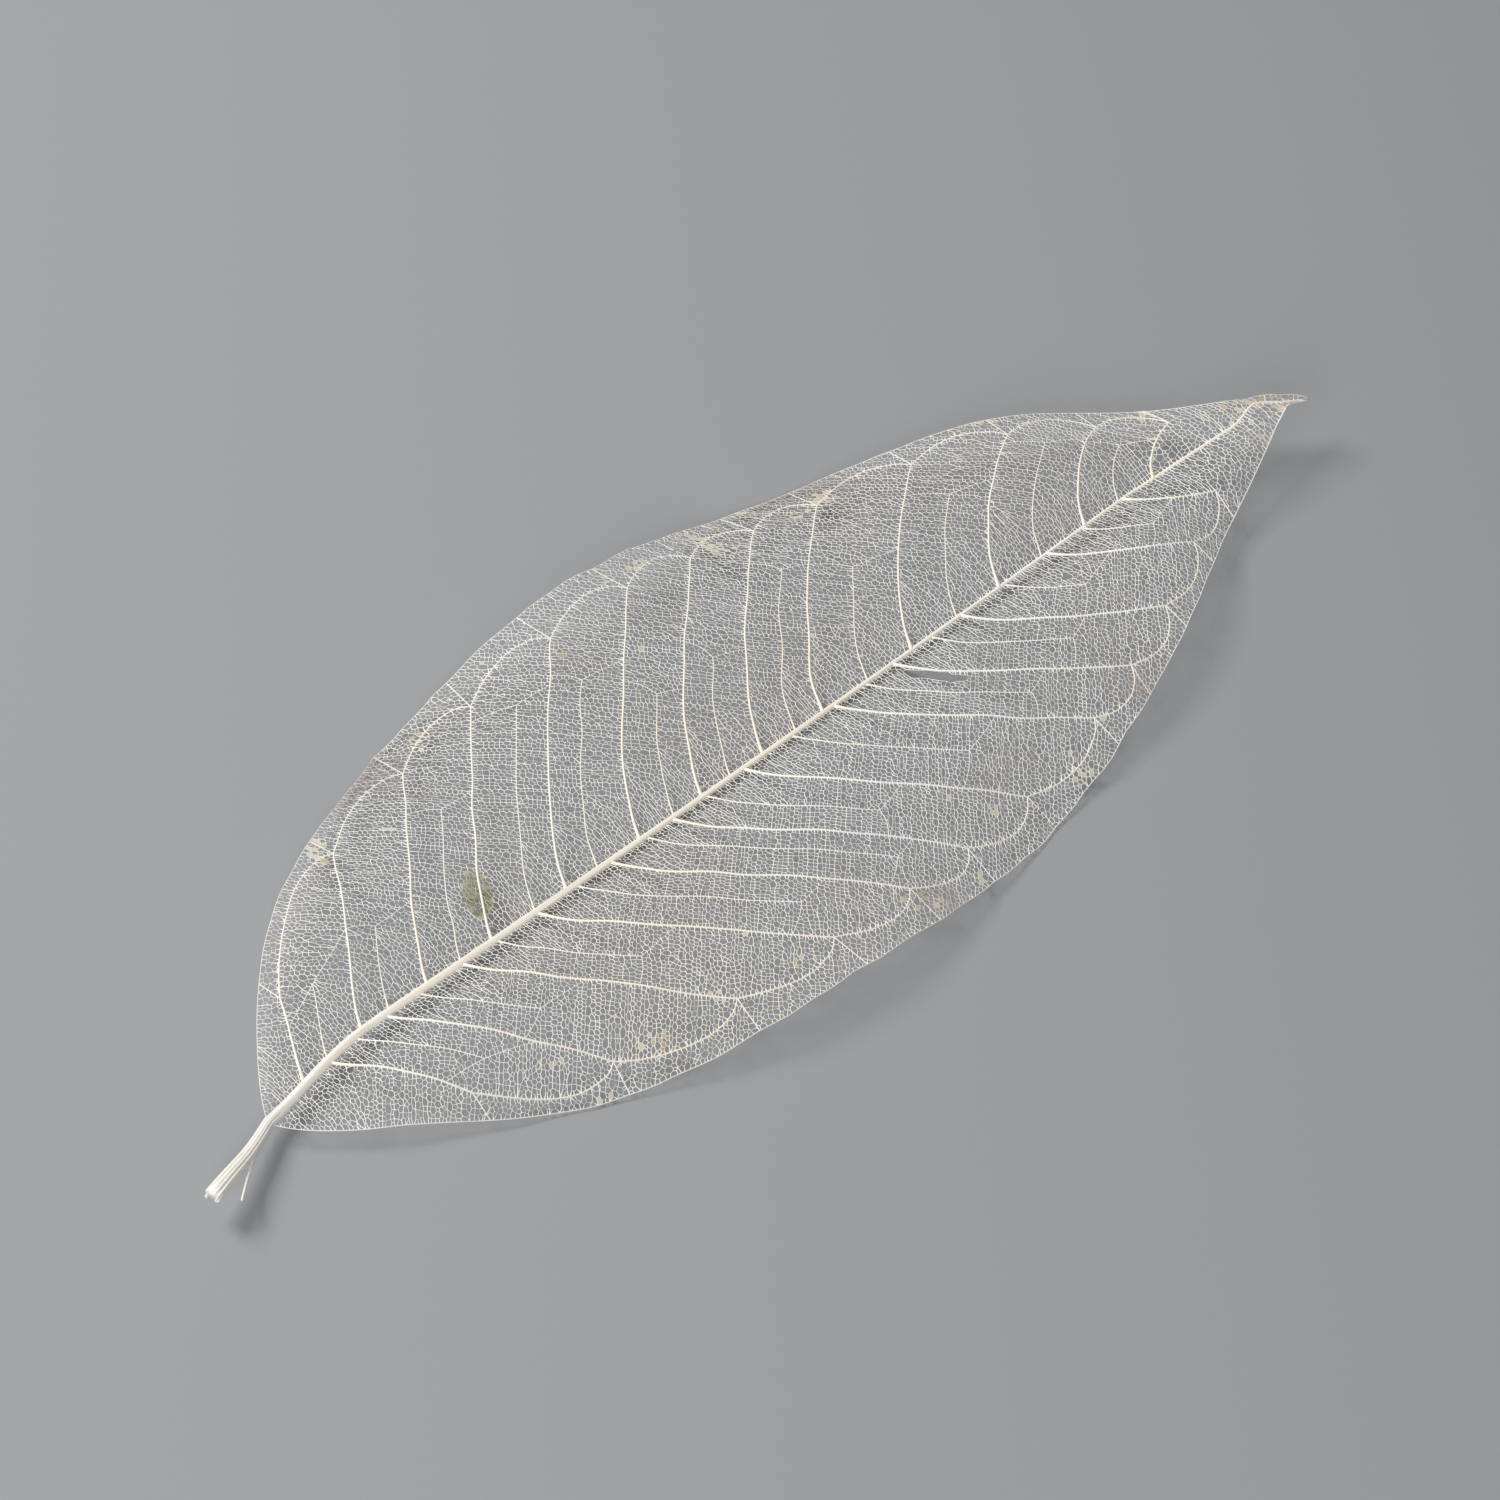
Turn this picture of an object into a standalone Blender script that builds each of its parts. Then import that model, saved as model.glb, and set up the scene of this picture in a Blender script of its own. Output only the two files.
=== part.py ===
"""A skeleton leaf: stalk, midrib, side veins and vein net, left when the green tissue is gone.

The leaf grew as one piece, so it is one solid. It lies on its underside with its tip towards
+X, and z = 0 is the surface it rests on. The origin is the flat spot pressed under the midrib.
The net is first drawn on the flat blade, where a place is given by its distance along the
midrib and its distance to the left of it. It is thickened there, and lay() then bends it
into the waved leaf. The net is coarser than life, and its veins are thicker.
"""
import math
import random

import bmesh
import bpy
from mathutils import Vector

# Driving dimensions, in metres
BLADE_LENGTH = 0.160
BLADE_WIDTH = 0.060
STALK_LENGTH = 0.012
REST_SPOT_AT = 0.074
WIDEST_AT = 0.45 * BLADE_LENGTH

# Shape of the outline, from the widest place to the base and to the tip
BASE_CURVE = 2.4
BASE_BLUNTNESS = 0.85
TIP_CURVE = 2.1
TIP_DRAWN_OUT = 0.35

# The midrib swings aside at the stalk and at the tip, and rises on both sides of the rest spot
STALK_SWING = 0.0034
STALK_SLANT = 0.30
TIP_SWING = 0.0038
FLAT_STRETCH = 0.012
BASE_ARCH = 0.0016
TIP_ARCH = 0.0024
STALK_RISE = 0.0012
TIP_RISE = 0.0045
TIP_NOD = 0.0012

# Stalk and midrib
STALK_END_RADIUS = 0.00125
MIDRIB_BASE_RADIUS = 0.00090
MIDRIB_TIP_RADIUS = 0.00045
MIDRIB_SIDES = 8
MIDRIB_STEP = 0.0045

# A fibre that has peeled off the stalk
FIBRE_ROOT_AT = -0.0015
FIBRE_LENGTH = 0.0076
FIBRE_SPREAD = 0.0027
FIBRE_SAG = 0.0006
FIBRE_RADIUS = 0.00034
FIBRE_SIDES = 5
FIBRE_STEPS = 4

# Thickness of the veins in the blade
SIDE_VEIN = 0.00130
CROSS_VEIN = 0.00082
MARGIN_VEIN = 0.00078
NET_VEIN = 0.00064
OUTWARD_TAPER = 0.22
TIPWARD_TAPER = 0.28

# Where the side veins leave the midrib, as shares of the blade, on its left and its right
LEAVES_LEFT = (0.04, 0.10, 0.16, 0.22, 0.29, 0.36, 0.42, 0.48, 0.54, 0.63, 0.72, 0.81, 0.88)
LEAVES_RIGHT = (0.065, 0.12, 0.19, 0.26, 0.33, 0.39, 0.46, 0.55, 0.61, 0.68, 0.77, 0.85)
LEAVING_ANGLE = math.radians(62.0)
OUTER_ANGLE = math.radians(40.0)

# The side veins turn near the margin, and each joins the one ahead of it in a loop
LOOP_AT = 0.84
MARGIN_STRIP = 0.0034
FOOT_AHEAD = 0.0021
SIDE_VEIN_STEPS = (0.24, 0.48, 0.70, 0.88, 1.0)
LOOP_JOINS = 3

# Cells of the net
OUTLINE_STEPS = 64
CELL_AREA = 15.0e-6
COARSE_CELL_AREA = 55.0e-6
LARGEST_CELL = 3.0 * CELL_AREA
SMALL_ENOUGH = (1.2, 1.6)
CUT_SHIFT = 0.12
CUT_TURN = 0.22
SNAP = 0.0014
SHORTEST_VEIN = 0.0015
ROOM = 0.10
SHARPEST = 0.05
SEED = 7

# Waves of the blade, with the first low point of each edge and the distance to the next
BILLOW = 0.0028
MARGIN_WAVE = 0.0042
LOW_POINTS = {1: (0.042, 0.062), -1: (0.028, 0.066)}
PRESSED_IN = 0.0001
WAVES_FROM = 0.16 * BLADE_LENGTH
WAVES_TO = 0.78 * BLADE_LENGTH

# What a vein of the flat net is, from the strongest to the finest
MIDRIB = 1
SIDE = 2
MARGIN = 3
CROSS = 4
NET = 5


def clear_scene():
    for thing in list(bpy.data.objects):
        bpy.data.objects.remove(thing, do_unlink=True)


def smoothstep(low, high, value):
    """Go from 0 to 1 as value passes from low to high, with no corner at either end."""
    share = min(max((value - low) / (high - low), 0.0), 1.0)
    return share * share * (3.0 - 2.0 * share)


def half_width(along):
    """Half the blade's width: a blunt wedge at the base and a drawn-out point."""
    if along <= WIDEST_AT:
        share = min((WIDEST_AT - along) / WIDEST_AT, 1.0)
        return 0.5 * BLADE_WIDTH * (1.0 - share**BASE_CURVE) ** BASE_BLUNTNESS
    share = min((along - WIDEST_AT) / (BLADE_LENGTH - WIDEST_AT), 1.0)
    return 0.5 * BLADE_WIDTH * (1.0 - share**TIP_CURVE) * (1.0 - TIP_DRAWN_OUT * share**8)


def midrib_bend(along):
    """How far the midrib has swung aside from its straight course."""
    at_stalk = smoothstep(0.11 * BLADE_LENGTH, -0.5 * STALK_LENGTH, along)
    at_tip = smoothstep(0.85 * BLADE_LENGTH, BLADE_LENGTH, along)
    return STALK_SLANT * min(along, 0.0) - STALK_SWING * at_stalk - TIP_SWING * at_tip


def midrib_radius(along):
    """The midrib tapers towards the tip, and the stalk flares where it left the twig."""
    share = min(max(along / BLADE_LENGTH, 0.0), 1.0)
    radius = MIDRIB_BASE_RADIUS + (MIDRIB_TIP_RADIUS - MIDRIB_BASE_RADIUS) * share**0.8
    flare = smoothstep(-0.35 * STALK_LENGTH, -STALK_LENGTH, along)
    return radius + (STALK_END_RADIUS - MIDRIB_BASE_RADIUS) * flare


def spine_height(along):
    """Height of the midrib's centre line above the surface that the leaf lies on."""
    seat = math.cos(math.pi / MIDRIB_SIDES) * midrib_radius(along) - PRESSED_IN
    to_base = max(REST_SPOT_AT - FLAT_STRETCH - along, 0.0) / REST_SPOT_AT
    to_tip = max(along - REST_SPOT_AT - FLAT_STRETCH, 0.0) / (BLADE_LENGTH - REST_SPOT_AT)
    arch = BASE_ARCH * to_base**1.5 + TIP_ARCH * to_tip**1.6
    stalk = STALK_RISE * smoothstep(0.3 * STALK_LENGTH, -STALK_LENGTH, along)
    curl = TIP_RISE * smoothstep(0.86 * BLADE_LENGTH, 0.975 * BLADE_LENGTH, along)
    nod = TIP_NOD * smoothstep(0.96 * BLADE_LENGTH, 1.02 * BLADE_LENGTH, along)
    return seat + arch + stalk + curl - nod


def margin_height(along, side):
    """Height of the blade's edge, which touches the surface at low points and lifts between."""
    first_low, wave_length = LOW_POINTS[side]
    wave = 0.5 - 0.5 * math.cos(2.0 * math.pi * (along - first_low) / wave_length)
    return 0.5 * MARGIN_VEIN - PRESSED_IN + MARGIN_WAVE * wave


def lay(along, across):
    """Bend a place on the flat blade into the leaf as it lies."""
    side = 1 if across >= 0.0 else -1
    outward = min(abs(across) / max(half_width(along), 0.001), 1.0)
    waves = smoothstep(0.0, WAVES_FROM, along) * smoothstep(BLADE_LENGTH, WAVES_TO, along)
    spine = spine_height(along)
    lift = (margin_height(along, side) - spine) * outward**2
    lift += BILLOW * math.sin(math.pi * outward)
    return Vector((along - REST_SPOT_AT, across + midrib_bend(along), spine + lift * waves))


def split_face(net, face, start, end, through, rank):
    """Cut a cell from one corner to another through the points given, and rank the new vein."""
    layer = net.edges.layers.int["rank"]
    new_face, _ = bmesh.utils.face_split(face, start, end, coords=through)
    for edge in new_face.edges:
        if face in edge.link_faces and edge[layer] == 0:
            edge[layer] = rank
    return new_face


def corner_at(corners, along, across):
    """The corner nearest to a place on the flat blade."""
    place = Vector((along, across, 0.0))
    return min(corners, key=lambda corner: (corner.co - place).length)


def outline_net():
    """Start the flat net as one cell with the leaf's outline, cut in two by the midrib."""
    net = bmesh.new()
    layer = net.edges.layers.int.new("rank")
    ring = bmesh.ops.create_circle(net, cap_ends=True, segments=OUTLINE_STEPS, radius=1.0)["verts"]
    for corner in ring:
        towards_base = corner.co.y
        along = 0.5 * BLADE_LENGTH * (1.0 - towards_base)
        across = math.copysign(half_width(along), corner.co.x)
        corner.co = (along, across if abs(towards_base) < 0.9999 else 0.0, 0.0)
    for edge in net.edges:
        edge[layer] = MARGIN
    base = corner_at(ring, 0.0, 0.0)
    tip = corner_at(ring, BLADE_LENGTH, 0.0)
    leaves = sorted(share * BLADE_LENGTH for share in LEAVES_LEFT + LEAVES_RIGHT)
    midrib = [Vector((along, 0.0, 0.0)) for along in leaves]
    split_face(net, base.link_faces[0], base, tip, midrib, MIDRIB)
    return net, base


def loop_line(along):
    """Distance from the midrib at which the side veins turn and loop along the margin."""
    return min(LOOP_AT * half_width(along), half_width(along) - MARGIN_STRIP)


def side_vein_course(leaves_at, side):
    """Points of one side vein, which leaves the midrib steeply and bends towards the tip."""
    along = leaves_at
    course = []
    last_step = 0.0
    for step in SIDE_VEIN_STEPS:
        angle = LEAVING_ANGLE + (OUTER_ANGLE - LEAVING_ANGLE) * step
        along += (step - last_step) * loop_line(along) / math.tan(angle)
        course.append(Vector((along, side * step * loop_line(along), 0.0)))
        last_step = step
    return course


def base_cell(one, other, base):
    """Which of two cells reaches the base of the blade."""
    return one if base in one.verts else other


def grow_side_veins(net, base, leaves, side):
    """Cut one half of the blade by its side veins, from the tip down to the base."""
    outer = next(face for face in base.link_faces if side * face.calc_center_median().y > 0.0)
    course_ahead = None
    for share in reversed(leaves):
        start = corner_at(outer.verts, share * BLADE_LENGTH, 0.0)
        course = side_vein_course(share * BLADE_LENGTH, side)
        turn = course[-1]
        foot_at = turn.x + FOOT_AHEAD
        foot = Vector((foot_at, side * half_width(foot_at), 0.0))
        if course_ahead:
            joins = course_ahead[LOOP_JOINS]
            along = 0.5 * (turn.x + joins.x)
            course.append(Vector((along, side * loop_line(along), 0.0)))
        else:
            joins = foot
        end = corner_at(outer.verts, joins.x, joins.y)
        outer = base_cell(split_face(net, outer, start, end, course, SIDE), outer, base)
        if course_ahead:
            top = corner_at(outer.verts, turn.x, turn.y)
            end = corner_at(outer.verts, foot.x, foot.y)
            outer = base_cell(split_face(net, outer, top, end, [], CROSS), outer, base)
        course_ahead = course


def cutting_line(face, rng):
    """Choose the line that halves a cell across its long way: a point and a direction."""
    centre = face.calc_center_median_weighted()
    spread_x = spread_y = spread_xy = 0.0
    for loop in face.loops:
        middle = (loop.vert.co + loop.link_loop_next.vert.co) * 0.5 - centre
        weight = loop.edge.calc_length()
        spread_x += weight * middle.x**2
        spread_y += weight * middle.y**2
        spread_xy += weight * middle.x * middle.y
    long_way = 0.5 * math.atan2(2.0 * spread_xy, spread_x - spread_y)
    shift = math.sqrt(face.calc_area()) * rng.uniform(-CUT_SHIFT, CUT_SHIFT)
    centre += shift * Vector((math.cos(long_way), math.sin(long_way), 0.0))
    cut = long_way + 0.5 * math.pi + rng.uniform(-CUT_TURN, CUT_TURN)
    return centre, Vector((math.cos(cut), math.sin(cut), 0.0))


def crossings(face, centre, direction):
    """Where a line crosses a cell's border: place on the line, edge, the edge's start, share."""
    found = []
    normal = Vector((-direction.y, direction.x, 0.0))
    for loop in face.loops:
        start = loop.vert
        end = loop.link_loop_next.vert
        before = (start.co - centre).dot(normal)
        after = (end.co - centre).dot(normal)
        if (before < 0.0) != (after < 0.0):
            share = before / (before - after)
            place = (start.co.lerp(end.co, share) - centre).dot(direction)
            found.append((place, loop.edge, start, share))
    return sorted(found, key=lambda crossing: crossing[0])


def corner_on(edge, start, share):
    """A corner at a place on an edge: one of its ends where that is close, or else a new one."""
    length = edge.calc_length()
    if share * length < SNAP:
        return start
    if (1.0 - share) * length < SNAP:
        return edge.other_vert(start)
    return bmesh.utils.edge_split(edge, start, share)[1]


def halve(net, face, rank, rng):
    """Cut a cell in two across its long way. Returns the new cell, or None where it can't."""
    found = crossings(face, *cutting_line(face, rng))
    spans = list(zip(found[0::2], found[1::2]))
    if not spans:
        return None
    near, far = min(spans, key=lambda span: max(span[0][0], -span[1][0], 0.0))
    start = corner_on(*near[1:])
    end = corner_on(*far[1:])
    if start is end or net.edges.get((start, end)) is not None:
        return None
    return split_face(net, face, start, end, [], rank)


def grow_net(net, rng):
    """Halve every cell again and again until it is small enough."""
    waiting = list(net.faces)
    while waiting:
        face = waiting.pop()
        area = face.calc_area()
        if area < CELL_AREA * rng.uniform(*SMALL_ENOUGH):
            continue
        new_face = halve(net, face, CROSS if area > COARSE_CELL_AREA else NET, rng)
        if new_face is not None:
            waiting += [face, new_face]


def corner_rank(corner, layer):
    """Rank of the strongest vein that meets at a corner."""
    return min(edge[layer] for edge in corner.link_edges)


def vein_at(corner, layer):
    """Thickness at a corner: that of its thickest vein. Side veins taper outwards and tipwards."""
    ranks = [edge[layer] for edge in corner.link_edges]
    if SIDE in ranks:
        outward = abs(corner.co.y) / (0.5 * BLADE_WIDTH)
        tipward = corner.co.x / BLADE_LENGTH
        return SIDE_VEIN * (1.0 - OUTWARD_TAPER * outward) * (1.0 - TIPWARD_TAPER * tipward)
    if MARGIN in ranks:
        return MARGIN_VEIN
    return CROSS_VEIN if CROSS in ranks else NET_VEIN


def weld_short_veins(net):
    """Weld the two ends of each vein that is too short to leave room between thick ones."""
    layer = net.edges.layers.int["rank"]
    short = True
    while short:
        short = [edge for edge in net.edges if edge.calc_length() < SHORTEST_VEIN]
        targets = {}
        for edge in sorted(short, key=lambda item: item.calc_length()):
            corners = sorted(edge.verts, key=lambda corner: corner_rank(corner, layer))
            stays, goes = sorted(corners, key=lambda corner: not corner.is_boundary)
            if not {stays, goes} & (set(targets) | set(targets.values())):
                targets[goes] = stays
        bmesh.ops.weld_verts(net, targetmap=targets)


def relax_net(net):
    """Let the finer veins pull each other into rounder cells."""
    layer = net.edges.layers.int["rank"]
    free = [corner for corner in net.verts if corner_rank(corner, layer) >= CROSS]
    for _ in range(2):
        bmesh.ops.smooth_vert(net, verts=free, factor=0.5, use_axis_x=True, use_axis_y=True)


def has_room(face, layer):
    """Whether a cell keeps a hole once the veins round it have their thickness."""
    inner = []
    for loop in face.loops:
        sharpness = max(math.sin(0.5 * loop.calc_angle()), SHARPEST)
        reach = 0.5 * vein_at(loop.vert, layer) / sharpness
        inner.append(loop.vert.co + loop.calc_tangent() * reach)
    for index, loop in enumerate(face.loops):
        border = loop.link_loop_next.vert.co - loop.vert.co
        inner_border = inner[(index + 1) % len(inner)] - inner[index]
        if border.dot(inner_border) < ROOM * border.length_squared:
            return False
    return True


def merge_tight_cells(net):
    """Take the finest vein out of each cell that the veins round it would close."""
    layer = net.edges.layers.int["rank"]
    doomed = True
    while doomed:
        doomed = set()
        touched = set()
        for face in net.faces:
            if has_room(face, layer):
                continue
            veins = [edge for edge in face.edges if edge[layer] >= CROSS
                     and not touched & set(edge.link_faces)
                     and sum(cell.calc_area() for cell in edge.link_faces) < LARGEST_CELL]
            if veins:
                vein = max(veins, key=lambda edge: (edge[layer], edge.calc_length()))
                doomed.add(vein)
                touched |= set(vein.link_faces)
        bmesh.ops.dissolve_edges(net, edges=list(doomed), use_verts=True)


def flat_net():
    """Draw the whole vein net on the flat blade."""
    net, base = outline_net()
    grow_side_veins(net, base, LEAVES_LEFT, 1)
    grow_side_veins(net, base, LEAVES_RIGHT, -1)
    grow_net(net, random.Random(SEED))
    weld_short_veins(net)
    relax_net(net)
    weld_short_veins(net)
    merge_tight_cells(net)
    return net


def new_object(name, shape):
    """Make an object of a finished bmesh."""
    mesh = bpy.data.meshes.new(name)
    shape.to_mesh(mesh)
    shape.free()
    thing = bpy.data.objects.new(name, mesh)
    bpy.context.scene.collection.objects.link(thing)
    return thing


def apply_modifiers(thing):
    """Give an object the mesh that its modifiers make, and take the modifiers off."""
    depsgraph = bpy.context.evaluated_depsgraph_get()
    finished = bpy.data.meshes.new_from_object(thing.evaluated_get(depsgraph))
    thing.modifiers.clear()
    thing.data = finished


def make_blade():
    """Turn the flat net into bars, each as thick as its vein, and bend it into the leaf."""
    net = flat_net()
    layer = net.edges.layers.int["rank"]
    widths = [vein_at(corner, layer) for corner in net.verts]
    blade = new_object("skeleton_leaf", net)
    group = blade.vertex_groups.new(name="vein_thickness")
    for index, width in enumerate(widths):
        group.add([index], width / SIDE_VEIN, "REPLACE")
    bars = blade.modifiers.new("bars", "WIREFRAME")
    bars.thickness = SIDE_VEIN
    bars.offset = 0.0
    bars.use_even_offset = True
    bars.use_boundary = True
    bars.use_replace = True
    bars.vertex_group = group.name
    apply_modifiers(blade)
    for corner in blade.data.vertices:
        above = Vector((0.0, 0.0, corner.co.z))
        corner.co = lay(corner.co.x, corner.co.y) + above
    return blade


def place_ring(cap, centre, forward, radius):
    """Set the corners of a tube's end square across its course, with a flat side below."""
    left = Vector((0.0, 0.0, 1.0)).cross(forward).normalized()
    up = forward.cross(left)
    for index, corner in enumerate(cap.verts):
        angle = 2.0 * math.pi * (index + 0.5) / len(cap.verts)
        corner.co = centre + radius * (math.cos(angle) * left + math.sin(angle) * up)


def make_tube(name, places, radii, sides):
    """Grow a closed tapered tube through the places given, by extruding its end face."""
    tube = bmesh.new()
    ring = bmesh.ops.create_circle(tube, cap_ends=True, segments=sides, radius=1.0)["verts"]
    cap = ring[0].link_faces[0]
    for index, place in enumerate(places):
        before = places[max(index - 1, 0)]
        after = places[min(index + 1, len(places) - 1)]
        if index > 0:
            grown = bmesh.ops.extrude_face_region(tube, geom=[cap, *cap.edges])["geom"]
            cap = next(item for item in grown if isinstance(item, bmesh.types.BMFace))
        place_ring(cap, place, (after - before).normalized(), radii[index])
    bmesh.ops.recalc_face_normals(tube, faces=tube.faces)
    return new_object(name, tube)


def make_midrib():
    """The stalk and the midrib in one tapered tube, from the cut end to the tip of the blade."""
    steps = round((BLADE_LENGTH + STALK_LENGTH) / MIDRIB_STEP)
    alongs = [-STALK_LENGTH + (BLADE_LENGTH + STALK_LENGTH) * index / steps
              for index in range(steps + 1)]
    places = [lay(along, 0.0) for along in alongs]
    radii = [midrib_radius(along) for along in alongs]
    return make_tube("midrib", places, radii, MIDRIB_SIDES)


def make_fibre():
    """A fibre that has peeled off the stalk and curves away from its end."""
    places = []
    for step in range(FIBRE_STEPS + 1):
        share = step / FIBRE_STEPS
        away = Vector((0.0, -FIBRE_SPREAD * share**1.35, -FIBRE_SAG * share))
        places.append(lay(FIBRE_ROOT_AT - FIBRE_LENGTH * share, 0.0) + away)
    return make_tube("fibre", places, [FIBRE_RADIUS] * len(places), FIBRE_SIDES)


def join_all(blade, others):
    """Fuse the thick veins with the blade in one union, and remove what they were made from."""
    thick_veins = bpy.data.collections.new("thick_veins")
    for thing in others:
        bpy.context.scene.collection.objects.unlink(thing)
        thick_veins.objects.link(thing)
    union = blade.modifiers.new("union", "BOOLEAN")
    union.operation = "UNION"
    union.operand_type = "COLLECTION"
    union.collection = thick_veins
    union.solver = "EXACT"
    apply_modifiers(blade)
    for thing in others:
        bpy.data.objects.remove(thing, do_unlink=True)
    bpy.data.collections.remove(thick_veins)


def press_flat(blade):
    """Press what would reach below the surface flat against it, so that the leaf lies still."""
    for corner in blade.data.vertices:
        corner.co.z = max(corner.co.z, 0.0)


def dry_vein_material():
    material = bpy.data.materials.new("dry_vein")
    material.use_nodes = True
    shader = material.node_tree.nodes["Principled BSDF"]
    shader.inputs["Base Color"].default_value = (0.80, 0.73, 0.62, 1.0)
    shader.inputs["Roughness"].default_value = 0.8
    shader.inputs["Metallic"].default_value = 0.0
    return material


def main():
    clear_scene()
    leaf = make_blade()
    join_all(leaf, [make_midrib(), make_fibre()])
    press_flat(leaf)
    leaf.data.materials.clear()
    leaf.data.materials.append(dry_vein_material())


main()
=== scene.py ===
# %% [markdown]
# A skeleton leaf is what stays of a tree's leaf when its green tissue has rotted off: a midrib,
# side veins that loop along the margin, and a net of threads with meshes well under a
# millimetre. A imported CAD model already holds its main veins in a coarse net. This script puts
# a much finer lace in its place, in the same coordinates, and gives it its finish.

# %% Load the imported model
import math
import random

import bmesh
import bpy
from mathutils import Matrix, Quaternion, Vector, noise


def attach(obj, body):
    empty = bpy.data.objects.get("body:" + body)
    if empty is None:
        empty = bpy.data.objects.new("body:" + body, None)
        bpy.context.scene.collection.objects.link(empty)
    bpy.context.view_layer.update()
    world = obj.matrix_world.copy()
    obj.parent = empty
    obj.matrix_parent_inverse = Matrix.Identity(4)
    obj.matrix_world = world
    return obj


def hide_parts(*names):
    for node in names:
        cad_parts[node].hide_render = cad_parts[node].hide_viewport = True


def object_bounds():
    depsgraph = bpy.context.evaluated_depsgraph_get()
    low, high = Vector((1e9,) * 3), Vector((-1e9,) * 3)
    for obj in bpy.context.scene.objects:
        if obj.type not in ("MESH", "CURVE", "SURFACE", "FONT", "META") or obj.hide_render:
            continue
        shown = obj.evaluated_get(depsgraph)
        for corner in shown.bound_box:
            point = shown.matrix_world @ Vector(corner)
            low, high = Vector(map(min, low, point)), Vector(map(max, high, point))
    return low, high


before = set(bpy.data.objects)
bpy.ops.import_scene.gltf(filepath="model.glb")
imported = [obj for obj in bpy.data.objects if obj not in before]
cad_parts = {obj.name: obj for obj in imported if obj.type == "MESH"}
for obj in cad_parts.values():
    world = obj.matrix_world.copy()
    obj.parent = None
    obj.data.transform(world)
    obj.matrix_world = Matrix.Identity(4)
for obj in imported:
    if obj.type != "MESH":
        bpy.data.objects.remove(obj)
cad_low, cad_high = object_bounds()
print("CAD box in mm:", [round(1000 * side, 1) for side in cad_high - cad_low])

# %% [markdown]
# The real leaf grew flat and then dried into shallow waves. Drawing its veins in three
# dimensions would be hard, so every vein is drawn on a flat blade, where a place is its distance
# along the midrib and its distance to the left of it. One function, lay, then bends any flat
# place into the leaf as it lies. Its sizes are the CAD model's, so the lace falls on it.

# %% Sizes of the leaf, in metres
MM = 0.001
BLADE_LENGTH = 160.0 * MM
BLADE_WIDTH = 60.0 * MM
STALK_LENGTH = 12.0 * MM
REST_SPOT_AT = 74.0 * MM
WIDEST_AT = 0.45 * BLADE_LENGTH
BASE_CURVE = 2.4
BASE_BLUNTNESS = 0.85
TIP_CURVE = 2.1
TIP_DRAWN_OUT = 0.35
TIP_DRAWN_CURVE = 8
BLUNT_TIP = 1.2 * MM
BLUNT_FROM = 157.0 * MM
NARROWEST = 1.0 * MM


def clamped(value):
    """A value held between 0 and 1."""
    return min(max(value, 0.0), 1.0)


def smoothstep(low, high, value):
    """Go from 0 to 1 as value passes from low to high, with no corner at either end."""
    share = clamped((value - low) / (high - low))
    return share * share * (3.0 - 2.0 * share)


def half_width(along):
    """Half the blade's width: a blunt wedge at the base and a drawn-out tip."""
    if along <= WIDEST_AT:
        share = clamped((WIDEST_AT - along) / WIDEST_AT)
        return 0.5 * BLADE_WIDTH * (1.0 - share**BASE_CURVE) ** BASE_BLUNTNESS
    share = clamped((along - WIDEST_AT) / (BLADE_LENGTH - WIDEST_AT))
    drawn_out = 1.0 - TIP_DRAWN_OUT * share**TIP_DRAWN_CURVE
    width = 0.5 * BLADE_WIDTH * (1.0 - share**TIP_CURVE) * drawn_out
    to_end = clamped((along - BLUNT_FROM) / (BLADE_LENGTH - BLUNT_FROM))
    return max(width, BLUNT_TIP * math.sqrt(1.0 - to_end**2)) if to_end else width


def way_out(along, across):
    """How far out a place lies on the flat blade: 0 on the midrib and 1 on the margin."""
    return abs(across) / max(half_width(along), NARROWEST)


print("blade:", round(BLADE_LENGTH / MM), "by", round(2.0 * half_width(WIDEST_AT) / MM), "mm")

# %% Course and thickness of the midrib
STALK_END_RADIUS = 1.25 * MM
MIDRIB_BASE_RADIUS = 0.90 * MM
MIDRIB_TIP_RADIUS = 0.45 * MM
CAD_MIDRIB_SIDES = 8
CAD_TAPER = 0.8
CAD_FLARES = (-0.35 * STALK_LENGTH, -STALK_LENGTH)
STALK_SWING = 3.4 * MM
STALK_SWINGS = (0.11 * BLADE_LENGTH, -0.5 * STALK_LENGTH)
STALK_SLANT = 0.30
TIP_SWING = 3.8 * MM
TIP_SWINGS = (0.85 * BLADE_LENGTH, BLADE_LENGTH)
FLAT_STRETCH = 12.0 * MM
BASE_ARCH = 1.6 * MM
BASE_ARCH_CURVE = 1.5
TIP_ARCH = 2.4 * MM
TIP_ARCH_CURVE = 1.6
STALK_RISE = 1.2 * MM
STALK_RISES = (0.3 * STALK_LENGTH, -STALK_LENGTH)
TIP_RISE = 4.5 * MM
TIP_RISES = (0.86 * BLADE_LENGTH, 0.975 * BLADE_LENGTH)
TIP_NOD = 1.2 * MM
TIP_NODS = (0.96 * BLADE_LENGTH, 1.02 * BLADE_LENGTH)
PRESSED_IN = 0.1 * MM


def midrib_bend(along):
    """How far the midrib has swung aside from its straight course."""
    at_stalk = smoothstep(*STALK_SWINGS, along)
    at_tip = smoothstep(*TIP_SWINGS, along)
    return STALK_SLANT * min(along, 0.0) - STALK_SWING * at_stalk - TIP_SWING * at_tip


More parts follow.
